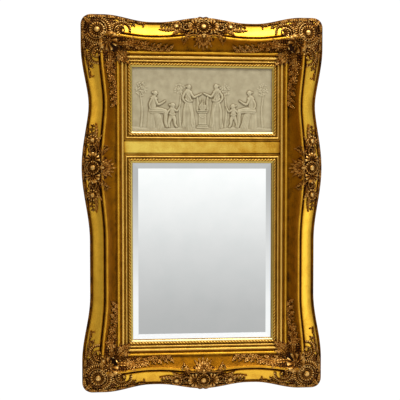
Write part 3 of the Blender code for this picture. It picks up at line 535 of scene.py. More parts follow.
# the silver has dulled a trace in patches 60 mm wide
dulling = add_node(
    tree, "ShaderNodeTexNoise", {"Scale": 16.0, "Detail": 2.0}, {"Vector": where.outputs["Object"]}
)
step = add_node(
    tree, "ShaderNodeMapRange", {"From Min": 0.35, "From Max": 0.7}, {"Value": dulling.outputs["Fac"]}
)
colour = add_node(
    tree, "ShaderNodeMix", {"data_type": "RGBA", 6: srgb("FBFDFC"), 7: srgb("F7FAF9")}, {0: step.outputs[0]}
)
tree.links.new(colour.outputs[2], shader.inputs["Base Color"])
shader.inputs["Metallic"].default_value = 1.0
shader.inputs["Roughness"].default_value = 0.015
plate = add_piece("mirror_plate_silvered", bm, [silvered_glass], ["mirror_plate"])
plate.data.set_sharp_from_angle(angle=radians(2))

# Relief plaque
# A slab of cast stone with a low frieze of draped figures about an altar, set behind its own
# rebate. It is cast in one, and its hollows are darkened, partly by a warm wash and partly by painted shade.
RELIEF_SPACING = 1.0
RELIEF_SHARE = 0.75
GROUND_LINE = 14.0
slab_low, slab_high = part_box("relief_plaque")
SLAB_FACE = 11.0
PLAQUE_MARGIN = 3.0
figure_x = np.arange(-HALF_X - PLAQUE_MARGIN, HALF_X + PLAQUE_MARGIN + 0.01, RELIEF_SPACING)
figure_z = np.arange(plaque_foot - PLAQUE_MARGIN, plaque_top + PLAQUE_MARGIN + 0.01, RELIEF_SPACING)
relief_x, relief_z = np.meshgrid(figure_x, figure_z - plaque_foot, indexing="ij")
relief = 0.25 * np.sin(relief_x / 23.0) * np.sin(relief_z / 17.0) + 0.3


def blend_up(first, second, soft=0.8):
    """The higher of two heights, with the meeting line softened."""
    share = np.clip(0.5 + (first - second) / (2 * soft), 0.0, 1.0)
    return second * (1 - share) + first * share + soft * share * (1 - share) * 0.6


def limb(field, path, widths, rise, folds=0.0, fold_count=5.0, soft=0.8):
    """Raise a rounded limb or a fall of cloth along a path, with folds down its length."""
    for (ax, az), (bx, bz), wide_a, wide_b in zip(path, path[1:], widths, widths[1:]):
        run_x, run_z = bx - ax, bz - az
        length = hypot(run_x, run_z)
        share = np.clip(((relief_x - ax) * run_x + (relief_z - az) * run_z) / length ** 2, 0.0, 1.0)
        wide = wide_a + (wide_b - wide_a) * share
        off_x, off_z = relief_x - ax - run_x * share, relief_z - az - run_z * share
        across = (off_x * -run_z + off_z * run_x) / length / wide
        away = np.hypot(off_x, off_z) / wide
        body = np.sqrt(np.clip(1 - away ** 2, 0.0, 1.0)) * rise
        pleat = np.cos(pi * fold_count * across + 1.4 * share)
        body = body * (1 + folds * pleat) * (away < 1)
        field = np.where(body > 0, blend_up(body, field, soft), field)
    return field


def bezier(points, steps=10):
    """Points along a smooth path through a few given ones."""
    path = []
    ends = [points[0], *points, points[-1]]
    for a, b, c, d in zip(ends, ends[1:], ends[2:], ends[3:]):
        for i in range(steps):
            t = i / steps
            path.append(tuple(
                0.5 * (
                    2 * q + (r - p) * t + (2 * p - 5 * q + 4 * r - s) * t * t
                    + (3 * q - p - 3 * r + s) * t ** 3
                )
                for p, q, r, s in zip(a, b, c, d)
            ))
    path.append(points[-1])
    return path


def eased(values, count):
    """A few values spread evenly over more places."""
    places = np.linspace(0, len(values) - 1, count)
    return list(np.interp(places, range(len(values)), values))


# A figure is drawn as limbs in shares of its height: path, half widths, rise in mm, folds, pleats
STANDING = [
    [[(0.0, 0.64), (0.02, 0.46), (0.04, 0.22), (0.05, 0.0)], [0.08, 0.1, 0.115, 0.135], 3.8, 0.12, 7.0],
    [[(-0.04, 0.60), (-0.08, 0.38), (-0.08, 0.16), (-0.10, 0.02)], [0.03, 0.045, 0.05, 0.06], 3.4, 0.16, 3.0],
    [[(0.04, 0.50), (0.08, 0.32), (0.08, 0.12), (0.11, 0.02)], [0.055, 0.055, 0.045, 0.04], 4.8, 0.05, 2.0],
    [[(0.0, 0.85), (0.0, 0.76), (0.01, 0.64)], [0.072, 0.082, 0.070], 4.4, 0.06, 4.0],
    [[(-0.06, 0.84), (0.06, 0.83)], [0.035, 0.035], 4.2, 0, 1],
    [[(-0.05, 0.82), (0.01, 0.74), (0.07, 0.65)], [0.022, 0.026, 0.022], 5.2, 0.1, 2.0],
    [[(-0.06, 0.66), (0.02, 0.61), (0.09, 0.63)], [0.03, 0.035, 0.03], 5.2, 0.15, 2.0],
    [[(0.05, 0.83), (0.13, 0.72), (0.2, 0.74), (0.31, 0.79)], [0.034, 0.03, 0.026, 0.02], 5.0, 0, 1],
    [[(-0.06, 0.83), (-0.13, 0.71), (-0.08, 0.61), (0.0, 0.56)], [0.034, 0.03, 0.026, 0.02], 4.4, 0, 1],
    [[(0.21, 0.73), (0.23, 0.58), (0.22, 0.42)], [0.02, 0.035, 0.03], 2.8, 0.22, 3.0],
    [[(0.005, 0.885), (0.012, 0.91)], [0.028, 0.028], 3.6, 0, 1],
]
SEATED = [
    [[(-0.13, 0.42), (-0.14, 0.22), (-0.14, 0.0)], [0.13, 0.13, 0.15], 2.6, 0.06, 3.0],
    [[(-0.02, 0.46), (0.05, 0.28), (0.09, 0.12), (0.12, 0.0)], [0.11, 0.12, 0.12, 0.14], 3.6, 0.13, 6.0],
    [[(-0.13, 0.50), (0.02, 0.51), (0.18, 0.50), (0.29, 0.46)], [0.11, 0.10, 0.085, 0.07], 5.0, 0.12, 3.0],
    [[(0.27, 0.49), (0.29, 0.32), (0.29, 0.14), (0.33, 0.02)], [0.07, 0.06, 0.055, 0.05], 4.8, 0.14, 3.0],
    [[(-0.07, 0.89), (-0.09, 0.76), (-0.1, 0.6), (-0.1, 0.48)], [0.085, 0.105, 0.095, 0.11], 4.4, 0.06, 4.0],
    [[(-0.14, 0.88), (0.0, 0.87)], [0.042, 0.042], 4.2, 0, 1],
    [[(-0.03, 0.86), (0.05, 0.7), (0.15, 0.72), (0.27, 0.8)], [0.044, 0.038, 0.032, 0.024], 5.2, 0, 1],
    [[(-0.12, 0.86), (-0.2, 0.7), (-0.16, 0.56), (-0.02, 0.55)], [0.044, 0.038, 0.032, 0.024], 4.6, 0, 1],
    [[(-0.045, 0.93), (-0.04, 0.97)], [0.036, 0.036], 3.6, 0, 1],
]
CHILD = [
    [[(0.0, 0.78), (0.0, 0.66), (0.0, 0.54), (0.0, 0.44)], [0.10, 0.115, 0.12, 0.12], 4.4, 0, 1],
    [[(0.04, 0.46), (0.1, 0.32), (0.11, 0.14), (0.18, 0.02)], [0.085, 0.075, 0.055, 0.045], 4.6, 0, 1],
    [[(-0.05, 0.46), (-0.1, 0.32), (-0.15, 0.14), (-0.12, 0.02)], [0.085, 0.075, 0.055, 0.045], 3.8, 0, 1],
    [[(0.08, 0.74), (0.2, 0.68), (0.28, 0.8), (0.33, 0.92)], [0.05, 0.044, 0.036, 0.028], 4.2, 0, 1],
    [[(-0.08, 0.74), (-0.18, 0.64), (-0.22, 0.54), (-0.29, 0.48)], [0.05, 0.044, 0.036, 0.028], 3.6, 0, 1],
    [[(-0.10, 0.56), (0.0, 0.50), (0.10, 0.54)], [0.05, 0.06, 0.05], 5.0, 0.2, 3.0],
]
# Where a head sits on its figure, and its size, in the same shares
HEADS = {"standing": (0.015, 0.955, 0.052), "seated": (-0.035, 1.035, 0.070), "child": (0.01, 0.90, 0.105)}
# A head in profile, in shares of its own size: skull, calm jaw, nose and knotted hair
HEAD = [
    [(0.0, 0.0), (0.1, 0.1), (1.0, 1.0), 4.6, 0.0, 1.0, 0.3],
    [(0.35, -0.2), (0.45, -0.75), (0.62, 0.42), 4.4, 0.0, 1.0, 0.3],
    [(0.85, 0.05), (1.05, -0.28), (0.22, 0.2), 4.6, 0.0, 1.0, 0.2],
    [(-1.0, 0.25), (-1.2, 0.25), (0.45, 0.4), 4.4, 0.25, 3.0, 0.3],
]
# Each figure of the frieze: its pose, its place along the ground, its height in mm, its facing
FRIEZE = [("seated", -128, 90, 1), ("child", -84, 66, 1), ("standing", -40, 116, 1)]
FRIEZE += [("standing", 40, 118, -1), ("child", 86, 64, -1), ("seated", 128, 92, -1)]

# Trees are places along the ground, and the hand to which each leans. The altar is blocks: low
# and high edge, half width, rise. Its flames are a number and a lean each.
TREES = ((-170.0, 1), (168.0, -1), (-61.0, -1), (63.0, 1))
ALTAR = ((10, 16, 17, 3.4), (16, 20, 14, 3.0), (20, 52, 11, 2.6), (52, 56, 14, 3.2), (56, 60, 16, 3.6))
FLAMES = ((0, 0.0), (1, -5.0), (2, 5.5), (3, -2.5), (4, 3.0))
earth = GROUND_LINE + 1.6 * np.sin(relief_x / 11.0)
relief = np.maximum(relief, 2.4 * np.clip((earth - relief_z) / 5.0, 0.0, 1.0))
growth = random.Random(5)
for tree_x, hand in TREES:
    trunk = bezier([(tree_x, GROUND_LINE), (tree_x + 3 * hand, 58.0), (tree_x - 2 * hand, 104.0)])
    relief = limb(relief, trunk, eased([3.4, 2.6, 1.6], len(trunk)), 2.0, 0.15, 3.0)
    for i in range(42):
        turn, reach = growth.uniform(0, 2 * pi), growth.uniform(0, 1) ** 0.6
        leaf_x, leaf_z = tree_x + 15 * reach * cos(turn), 116 + 19 * reach * sin(turn)
        lean = growth.uniform(0, 2 * pi)
        far = (leaf_x + 4 * cos(lean), leaf_z + 4 * sin(lean))
        relief = limb(relief, [(leaf_x, leaf_z), far], [2.2, 0.8], growth.uniform(1.2, 2.2), 0.0, 1.0, 0.3)
for low, high, wide, rise in ALTAR:
    inside = (np.abs(relief_x) < wide) & (relief_z > low) & (relief_z < high)
    edge = np.clip((wide - np.abs(relief_x)) / 3.0, 0.0, 1.0)
    relief = np.where(inside, np.maximum(relief, rise * (0.6 + 0.4 * edge ** 0.5)), relief)
for tongue, lean in FLAMES:
    flame = bezier([
        (lean * 0.6, 60.0), (lean * 1.6, 70.0),
        (lean * 0.7, 80.0 - 2 * tongue), (lean * 1.2, 92.0 - 5 * tongue),
    ])
    relief = limb(relief, flame, eased([4.0, 3.2, 1.8, 0.6], len(flame)), 3.0, 0.1, 2.0, 0.4)
# a swag of seven berries hangs on the altar's face
for i in range(7):
    drop = 6.5 * sin(pi * i / 6)
    spot = (-9.0 + 3.0 * i, 46.0 - drop)
    relief = limb(relief, [spot, (spot[0] + 0.4, spot[1] - 0.4)], [2.0, 2.0], 4.0, 0.0, 1.0, 0.3)

figures = 0 * relief
for pose, along, tall, hand in FRIEZE:
    limbs = {"standing": STANDING, "seated": SEATED, "child": CHILD}[pose]
    base = GROUND_LINE - 1

    def spot(u, v):
        return along + u * tall * hand, base + v * tall

    for points, widths, rise, folds, pleats in limbs:
        path = bezier([spot(u, v) for u, v in points])
        figures = limb(figures, path, eased([w * tall for w in widths], len(path)), rise, folds, pleats, 0.5)
    u, v, size = HEADS[pose]
    skull_x, skull_z = spot(u, v)
    size *= tall
    ahead = hand * size
    for start, end, widths, rise, folds, pleats, soft in HEAD:
        path = [(skull_x + u * ahead, skull_z + v * size) for u, v in (start, end)]
        figures = limb(figures, path, [w * size for w in widths], rise, folds, pleats, soft)
    # the hair is combed back in strands
    strands = np.hypot(relief_x - skull_x + 0.35 * ahead, relief_z - skull_z - 0.35 * size) / size
    hair = (strands < 0.95) & ((relief_x - skull_x) * hand < 0.25 * size)
    figures = np.where(hair & (figures > 1), figures + 0.35 * np.cos(14 * strands), figures)
relief = np.where(figures > relief, blend_up(figures, relief, 0.5), np.maximum(relief, figures))

# hollows hold the wash and the painted shade: how far each place lies below what is round it
around = relief.copy()
for axis in (0, 1):
    around = sum(np.roll(around, shift, axis) for shift in range(-3, 4)) / 7
hollow = np.clip(0.28 + 0.6 * (around - relief), 0.0, 1.0)

bm, tone = start_piece()
count_x, count_z = relief.shape


def place_relief(s, t):
    i, j = round(s * (count_x - 1)), round(t * (count_z - 1))
    return Vector((figure_x[i], -SLAB_FACE - RELIEF_SHARE * relief[i, j], figure_z[j])), hollow[i, j]


def carry_on(bm, rim, place):
    """Carry an open edge on, each new corner to where place(v) puts it. Returns the new edge."""
    made = bmesh.ops.extrude_edge_only(bm, edges=rim)["geom"]
    for v in made:
        if isinstance(v, bmesh.types.BMVert):
            place(v)
    return [edge for edge in made if isinstance(edge, bmesh.types.BMEdge) and edge.is_boundary]


def lay_flange(v):
    """The border of the slab, behind the relief, that the sight moulding laps over."""
    v.co.y = -SLAB_FACE + 0.4
    if abs(v.co.x) > HALF_X + 2:
        v.co.x = slab_high.x / MM * (1 if v.co.x > 0 else -1)
    middle, half = (plaque_top + plaque_foot) / 2, (plaque_top - plaque_foot) / 2
    if abs(v.co.z - middle) > half + 2:
        v.co.z = (slab_high.z if v.co.z > middle else slab_low.z) / MM


def lay_back(v):
    v.co.y = -SEAT


add_sheet(bm, count_x - 1, count_z - 1, place_relief, tone)
rim = carry_on(bm, [edge for edge in bm.edges if edge.is_boundary], lay_flange)
rim = carry_on(bm, rim, lay_back)
bmesh.ops.edgeloop_fill(bm, edges=rim)

# Cast stone: a matt buff, warm and darker in the hollows, partly from the wash and partly from painted shade
cast_stone, tree, shader = start_finish("cast_stone")
where = add_node(tree, "ShaderNodeTexCoord").outputs["Object"]
tone = add_node(tree, "ShaderNodeAttribute", {"attribute_name": "tone"}).outputs["Fac"]
mottle = add_node(tree, "ShaderNodeTexNoise", {"Scale": 60.0, "Detail": 4.0}, {"Vector": where})
mottle = add_node(
    tree, "ShaderNodeMapRange", {"From Min": 0.3, "From Max": 0.7, "To Min": -0.14, "To Max": 0.14},
    {"Value": mottle.outputs["Fac"]}
)
wash = add_node(
    tree, "ShaderNodeMath", {"operation": "ADD", "use_clamp": True}, {0: tone, 1: mottle.outputs[0]}
)
colour = add_node(
    tree, "ShaderNodeMix", {"data_type": "RGBA", 6: srgb("BAAE8B"), 7: srgb("6C5B36")}, {0: wash.outputs[0]}
)
tree.links.new(colour.outputs[2], shader.inputs["Base Color"])
shader.inputs["Roughness"].default_value = 0.62
# sand in the casting, about half a millimetre
sand = add_node(tree, "ShaderNodeTexNoise", {"Scale": 1500.0, "Detail": 2.0}, {"Vector": where})
bump = add_node(
    tree, "ShaderNodeBump", {"Strength": 0.25, "Distance": 0.0003}, {"Height": sand.outputs["Fac"]}
)
tree.links.new(bump.outputs["Normal"], shader.inputs["Normal"])
add_piece("relief_plaque_cast", bm, [cast_stone], ["relief_plaque"])

# Corner and centre ornaments
# Composition, a mixture of glue, resin and whiting, pressed into carved moulds: acanthus leaves,
# C scrolls, shells, flowers and bosses. It is glued over the mouldings while it is soft enough to
# follow them, then gilded, toned dark brown and rubbed bright on its high places.
BED = -6.0
RELIEF_GAIN = 1.3
CEILING = 59.2
GROUND_REACH_X, GROUND_REACH_Z = 345, 528
ground_x, ground_z = np.meshgrid(
    np.arange(-GROUND_REACH_X, GROUND_REACH_X + 1.0),
    np.arange(-GROUND_REACH_Z, GROUND_REACH_Z + 1.0), indexing="ij"
)
side_out, end_out = np.abs(ground_x) - HALF_X, np.abs(ground_z) - HALF_Z
on_side = side_out > end_out
out = np.where(on_side, side_out, end_out)
width = np.where(on_side, side_width(ground_z), end_width(ground_x))
cut = np.where(on_side, corner_cut(ground_z, HALF_Z), corner_cut(ground_x, HALF_X))
exact = rail_depth(out, width, cut)
# the sight moulding and the bead liner, as a casting that laps over them meets them
inner_out = [0.0, 4.5, 7.7, 16.7, SIGHT_END, LINER_IN, LINER_IN + 2, 27.0, RAIL_IN]
inner_depth = [16.2, 18.6, 20.8, 21.2, 17.2, 19.0, 22.5, 23.5, 20.0]
exact = np.where(out < RAIL_IN, np.interp(out, inner_out, inner_depth), exact)
# the soft composition bridges the narrow hollows and only half follows the ridge
ground = exact
for axis in (0, 1):
    ground = sum(np.roll(ground, shift, axis) for shift in range(-5, 6)) / 11
ground = np.maximum(ground, exact - 1.5)
for axis in (0, 1):
    ground = sum(np.roll(ground, shift, axis) for shift in range(-2, 3)) / 5


def ground_at(x, z):
    i = min(max(x + GROUND_REACH_X, 0.0), 2 * GROUND_REACH_X - 1.001)
    j = min(max(z + GROUND_REACH_Z, 0.0), 2 * GROUND_REACH_Z - 1.001)
    a, b = int(i), int(j)
    near = ground[a, b] * (1 - j + b) + ground[a, b + 1] * (j - b)
    far = ground[a + 1, b] * (1 - j + b) + ground[a + 1, b + 1] * (j - b)
    return near * (1 - i + a) + far * (i - a)


# A casting is drawn flat: x along, y out from the sight, z its height over the mouldings
draw = None
draw_tone = None


def press(steps_s, steps_t, place):
    """Press one lump: its face is laid by place(s, t) and its edge runs down into the bed."""
    made = add_sheet(draw, steps_s, steps_t, place, draw_tone)

    def sink(v):
        v.co.z = BED
        v[draw_tone] = 1.0

    rim = dict.fromkeys(edge for v in made for edge in v.link_edges if edge.is_boundary)
    bmesh.ops.edgeloop_fill(draw, edges=carry_on(draw, list(rim), sink))


def away(centre, reach, angle):
    """The place that lies a distance from a centre, at an angle."""
    return centre[0] + reach * cos(angle), centre[1] + reach * sin(angle)


def leaf(start, end, wide, high, bend=0.0, lobes=4, curl=2.0):
    """Acanthus leaf with a grooved midrib, lobes swept forward, and a tip that curls up."""
    run_u, run_v = end[0] - start[0], end[1] - start[1]
    length = hypot(run_u, run_v)
    run_u, run_v = run_u / length, run_v / length

    def place(s, t):
        x = 2 * t - 1
        swept = s + 0.14 * abs(x) * (1 - s)
        lobe = abs(sin(pi * lobes * s)) ** 0.6 if lobes else 1.0
        half = wide / 2 * sin(pi * min(1.0, 0.06 + 0.94 * s) ** 0.85) ** 0.7 * (0.66 + 0.34 * lobe)
        side = bend * length * sin(pi * swept * 0.9) + x * half
        u = start[0] + run_u * length * swept - run_v * side
        v = start[1] + run_v * length * swept + run_u * side
        arch = sqrt(max(0.0, 1 - x * x)) * (0.45 + 0.55 * sin(pi * min(1.0, s + 0.05)))
        vein = exp(-(x / 0.16) ** 2)
        ripple = lobe * min(1.0, abs(x) * 2) if lobes else 0.6
        h = high * (arch * (0.72 + 0.28 * ripple) - 0.22 * vein * (1 - s)) + curl * s ** 3
        tone = 0.95 - 0.75 * arch * (0.45 + 0.55 * ripple)
        tone += 0.35 * vein * (1 - s) + 0.35 * max(0.0, 0.2 - s) * 5
        return Vector((u, v, h)), min(1.0, max(0.0, tone - 0.42 * s * s))

    press(max(10, lobes * 4), 8, place)


def scroll(centre, first, last, start, turn, wide, high, steps=26):
    """C scroll: a fluted ridge that winds in to an eye. Angles are in degrees."""
    def place(s, t):
        x = 2 * t - 1
        turned = radians(start + turn * s)
        taper = min(1.0, 0.35 + 5 * s) * (1 - 0.35 * s)
        radius = first + (last - first) * s + x * wide / 2 * taper
        ridge = sqrt(max(0.0, 1 - x * x))
        flute = 0.5 + 0.5 * cos(2.4 * pi * x)
        h = high * ridge * (0.74 + 0.26 * flute) * (0.7 + 0.3 * taper)
        tone = 0.9 - 0.8 * ridge * (0.35 + 0.65 * flute)
        return Vector((*away(centre, radius, turned), h)), max(0.0, tone)

    press(steps, 9, place)
    button(away(centre, last, radians(start + turn)), wide * 0.5, high * 0.95)


def shell(hub, inner, outer, facing, spread, ribs, high, curl=1.5):
    """Fan or frill of rounded ribs round a hub, scalloped along its outer edge."""
    def place(s, t):
        rib = abs(sin(pi * ribs * t))
        turned = radians(facing + spread * (t - 0.5))
        radius = inner + (outer - inner) * s * (0.86 + 0.14 * rib ** 0.6)
        swell_up = sin(pi * (0.12 + 0.72 * s))
        h = high * swell_up * (0.45 + 0.55 * rib ** 0.7) + curl * s ** 3
        tone = 1.0 - 0.95 * rib ** 0.8 * (0.35 + 0.65 * s)
        return Vector((*away(hub, radius, turned), h)), max(0.0, tone)

    press(7, ribs * 5, place)


def flower(centre, radius, petals, high):
    """Open flower with a button in the middle."""
    def place(s, t):
        around = 2 * pi * t
        petal = abs(cos(petals * around / 2))
        reach = radius * s * (1 - 0.26 * (1 - petal) * s)
        h = high * (0.35 + 0.65 * sin(pi * min(1.0, 0.15 + 0.8 * s))) * (0.55 + 0.45 * petal)
        h += high * 0.55 * exp(-(s / 0.22) ** 2)
        tone = 0.95 - 0.75 * petal * sin(pi * min(1.0, 0.1 + 0.8 * s)) - 0.7 * exp(-(s / 0.2) ** 2)
        return Vector((*away(centre, reach, around), h)), max(0.05, tone)

    press(7, petals * 5, place)


def button(centre, radius, high):
    """Small round berry or eye."""
    def place(s, t):
        reach = radius * s
        h = high * sqrt(max(0.0, 1 - 0.92 * s * s))
        return Vector((*away(centre, reach, 2 * pi * t), h)), 0.05 + 0.85 * s ** 3

    press(4, 8, place)


def boss(centre, radius, high):
    """Smooth round cabochon in a collar of beads."""
    def place(s, t):
        around = 2 * pi * t
        reach = radius * s
        if s < 0.66:
            h = high * (0.45 + 0.55 * sqrt(1 - (s / 0.68) ** 2))
            tone = 0.16 + 0.6 * (s / 0.66) ** 4
        else:
            ring = sin(pi * min(1.0, (s - 0.66) / 0.34))
            bead = abs(sin(9 * around))
            h = high * (0.2 + 0.38 * ring * (0.5 + 0.5 * bead))
            tone = 1.0 - 0.9 * ring * bead
        return Vector((*away(centre, reach, around), h)), tone

    press(12, 54, place)


def stem(points, wide, high):
    """Rounded stalk along a smooth path."""
    path = bezier(points, 8)

    def place(s, t):
        i = round(s * (len(path) - 1))
        before, after = path[max(0, i - 1)], path[min(len(path) - 1, i + 1)]
        run_u, run_v = after[0] - before[0], after[1] - before[1]
        length = hypot(run_u, run_v)
        x = (2 * t - 1)
        off = x * wide / 2 * (1 - 0.4 * s)
        ridge = sqrt(max(0.0, 1 - x * x))
        u = path[i][0] - run_v / length * off
        v = path[i][1] + run_u / length * off
        return Vector((u, v, high * ridge * (1 - 0.2 * s))), 0.9 - 0.5 * ridge

    press(len(path) - 1, 6, place)


def spray(points, wide, high, leaf_length, leaf_wide, pairs):
    """Stalk with leaves in pairs and a bud at its end."""
    stem(points, wide, high)
    path = bezier(points, 8)
    for i in range(1, pairs + 1):
        k = round(i * (len(path) - 2) / (pairs + 0.5))
        before, after = path[max(0, k - 1)], path[min(len(path) - 1, k + 1)]
        heading = atan2(after[1] - before[1], after[0] - before[0])
        for hand in (-1, 1):
            turned = heading + hand * 0.8
            reach = leaf_length * (1 - 0.35 * i / pairs)
            leaf(path[k], away(path[k], reach, turned), leaf_wide, high + 0.5, 0.12 * hand, 2, 1.0)
    button(path[-1], wide * 0.8, high + 1)


def pad(centre, radius, lobes, high):
    """Low ground of a casting, worked all over with small curled leaves."""
    def place(s, t):
        around = 2 * pi * t
        edge = radius * (0.9 + 0.1 * abs(sin(lobes * around / 2)))
        u, v = away(centre, edge * s, around)
        grain = sin(u / 2.1 + 1.7 * sin(v / 5.3)) * sin(v / 2.4 + 1.9 * sin(u / 4.7))
        crest = abs(grain) ** 0.7
        h = high * (1 - s ** 8) * (0.25 + 0.9 * crest)
        return Vector((u, v, h)), 1.0 - 0.55 * crest ** 2

    press(round(radius / 1.5), round(radius * 3.2), place)


def palmette(hub, reach, facing, spread, leaves, high):
    """Leaves that spread from a hub like the fingers of a hand."""
    for i in range(leaves):
        turned = radians(facing + spread * (i / (leaves - 1) - 0.5))
        far = reach * (1 - 0.22 * abs(2 * i / (leaves - 1) - 1))
        leaf(hub, away(hub, far, turned), reach * 0.34, high, 0.1 * (2 * i / (leaves - 1) - 1), 3, 2.0)
    button(hub, reach * 0.16, high * 1.2)


def start_drawing():
    global draw, draw_tone
    draw, draw_tone = start_piece()


def change_over(swap):
    """Add the drawing's mirror image to it; swap(point) gives a point's opposite place."""
    double = bmesh.ops.duplicate(draw, geom=draw.verts[:] + draw.edges[:] + draw.faces[:])["geom"]
    for v in double:
        if isinstance(v, bmesh.types.BMVert):
            v.co = swap(v.co)


def lay_casting(name, drawing, put, node):
    """Lay a drawing over the mouldings; put(u, v) gives the place on the frame in mm."""
    bm = drawing.copy()
    for v in bm.verts:
        x, z = put(v.co.x, v.co.y)
        depth = ground_at(x, z) + (v.co.z * RELIEF_GAIN if v.co.z > 0 else v.co.z)
        over = max(0.0, depth - CEILING)
        v.co = Vector((x, -(depth - over + 2.5 * (1 - exp(-over / 2.5))), z))
    add_piece(name, bm, [antique_leaf], [node])


# Toned leaf: bright yellow metal only on the high places, dark brown in every hollow
antique_leaf = gilding("toned_metal_leaf", "F2CC7C", "B0782C", "5C320E", "1E0D04", 0.34, 0.06, 0.14)


def corner_rim(u):
    return float(end_width(HALF_X + u))


start_drawing()
# one half of a corner, along the top; the other half is this one turned over its diagonal
leaf((48, 42), (36, 6), 10, 5, -0.12)
# scrolls and frills round the boss, and the scroll beside it
scroll((93, 93), 27, 24, 100, 150, 5, 7)
scroll((93, 93), 19, 17, 110, 120, 4, 6)
shell((93, 93), 27, 37, 152, 88, 9, 5)
scroll((28, 92), 18, 6, -20, 250, 5.5, 7.5, 30)
shell((28, 92), 19, 27, 95, 190, 15, 5)
shell((28, 92), 4, 13, 20, 200, 6, 4)
# leaves that run from the boss along the length
leaf((80, 86), (38, 84), 12, 6, 0.05, 6)
leaf((66, 100), (46, 112), 9, 5, 0.1, 4)
leaf((60, 62), (-16, 68), 13, 6, 0.08, 8)
leaf((40, 58), (-4, 50), 9, 6, -0.1, 5)
leaf((64, 74), (30, 72), 8, 5, -0.08, 5)
# leaves, scrolls and buttons along the rim
for start, end, wide in ((128, 96, 12), (102, 68, 11), (74, 42, 10), (48, 16, 9), (22, -10, 7), (-6, -36, 6)):
    near, far = (start, corner_rim(start) - 6), (end, corner_rim(end) - 5)
    leaf(near, far, wide, 5, 0.05, 5)
    scroll((end + 6, corner_rim(end) - 14), wide * 0.62, wide * 0.3, 60, 230, 2.6, 4.5, 16)
    button((start - 12, corner_rim(start) - 11), 2.0, 4.0)
pad((64, 108), 19, 8, 2.4)
pad((24, 60), 20, 7, 2.6)
pad((-6, 56), 14, 6, 2.4)
# the vine that runs out along the cove, with its buttons, leaves and flowers
vine = [(u, 49 + 0.0009 * (u + 100) ** 2) for u in (24, 0, -33, -66, -104)]
stem(vine, 4.5, 5)
for i in range(16):
    u = 26 - 8.4 * i
    v = 49 + 0.0009 * (u + 100) ** 2
    hand = 1 if i % 2 else -1
    button((u - 3, v + 6.5 * hand), 2.1 - 0.05 * i, 5.5)
    leaf((u, v), (u - 13, v + 9.5 * hand), 9, 5.5, 0.12 * hand, 3, 2.5)
for start, end in (
    ((-2, 60), (-24, 46)), ((-16, 54), (-40, 65)), ((-44, 53), (-66, 43)), ((-58, 50), (-80, 60)),
    ((-84, 51), (-106, 43)), ((-8, 58), (-22, 68)), ((-36, 54), (-50, 44)), ((-70, 50), (-84, 42)),
    ((-96, 49), (-112, 54)), ((8, 62), (-6, 76)), ((20, 60), (4, 46)),
):
    leaf(start, end, 11, 6, 0.1, 3)
flower((-32, 54), 8.5, 5, 6)
flower((-88, 50), 6.5, 5, 5)
flower((8, 62), 6.5, 5, 6)
# a row of buttons outside the frill, an oval of them beside it, and two sprays
for i in range(9):
    button(away((93, 93), 41, radians(100 + 19 * i)), 1.9, 5.0)
for i in range(7):
    turned = radians(-150 + 24 * i)
    button((60 + 17 * cos(turned + 2.2), 82 + 12 * sin(turned)), 1.7, 4.5)
spray([(44, 104), (30, 112), (12, 113), (-8, 106)], 2.6, 4.0, 11, 5, 4)
spray([(72, 58), (52, 50), (30, 46), (14, 52)], 2.6, 4.5, 10, 5, 3)
# leaves and a scroll that hide the mitre of the beads
leaf((46, 30), (14, 20), 12, 6, 0.12, 5)
leaf((44, 22), (20, 9), 10, 5.5, -0.1, 4)
leaf((30, 24), (5, 13), 9, 5.5, 0.08, 4)
scroll((36, 17), 8, 3, 150, -230, 3.6, 6, 20)
change_over(lambda co: Vector((co.y, co.x, co.z)))
# what stands on the diagonal
pad((80, 80), 57, 14, 2.6)
pad((50, 50), 33, 9, 2.6)
pad((25, 25), 19, 7, 2.8)
flower((20, 20), 8.5, 6, 6.5)
boss((93, 93), 13.5, 8)
shell((66, 66), 6, 27, 225, 240, 8, 5.5)
leaf((50, 50), (6, 6), 16, 6, 0.0, 6)
leaf((106, 106), (130, 130), 15, 6, 0.0, 4)
flower((62, 62), 9, 6, 6)
shell((93, 93), 13, 21, 45, 360, 18, 4)
corner_drawing = draw

for end, sign_z in (("top", 1), ("bottom", -1)):
    for flank, sign_x in (("left", -1), ("right", 1)):
        node = "corner_ornament_" + end + "_" + flank

        def put(u, v):
            return sign_x * (HALF_X + u), sign_z * (HALF_Z + v)

        lay_casting(node + "_cast", corner_drawing, put, node)
corner_drawing.free()


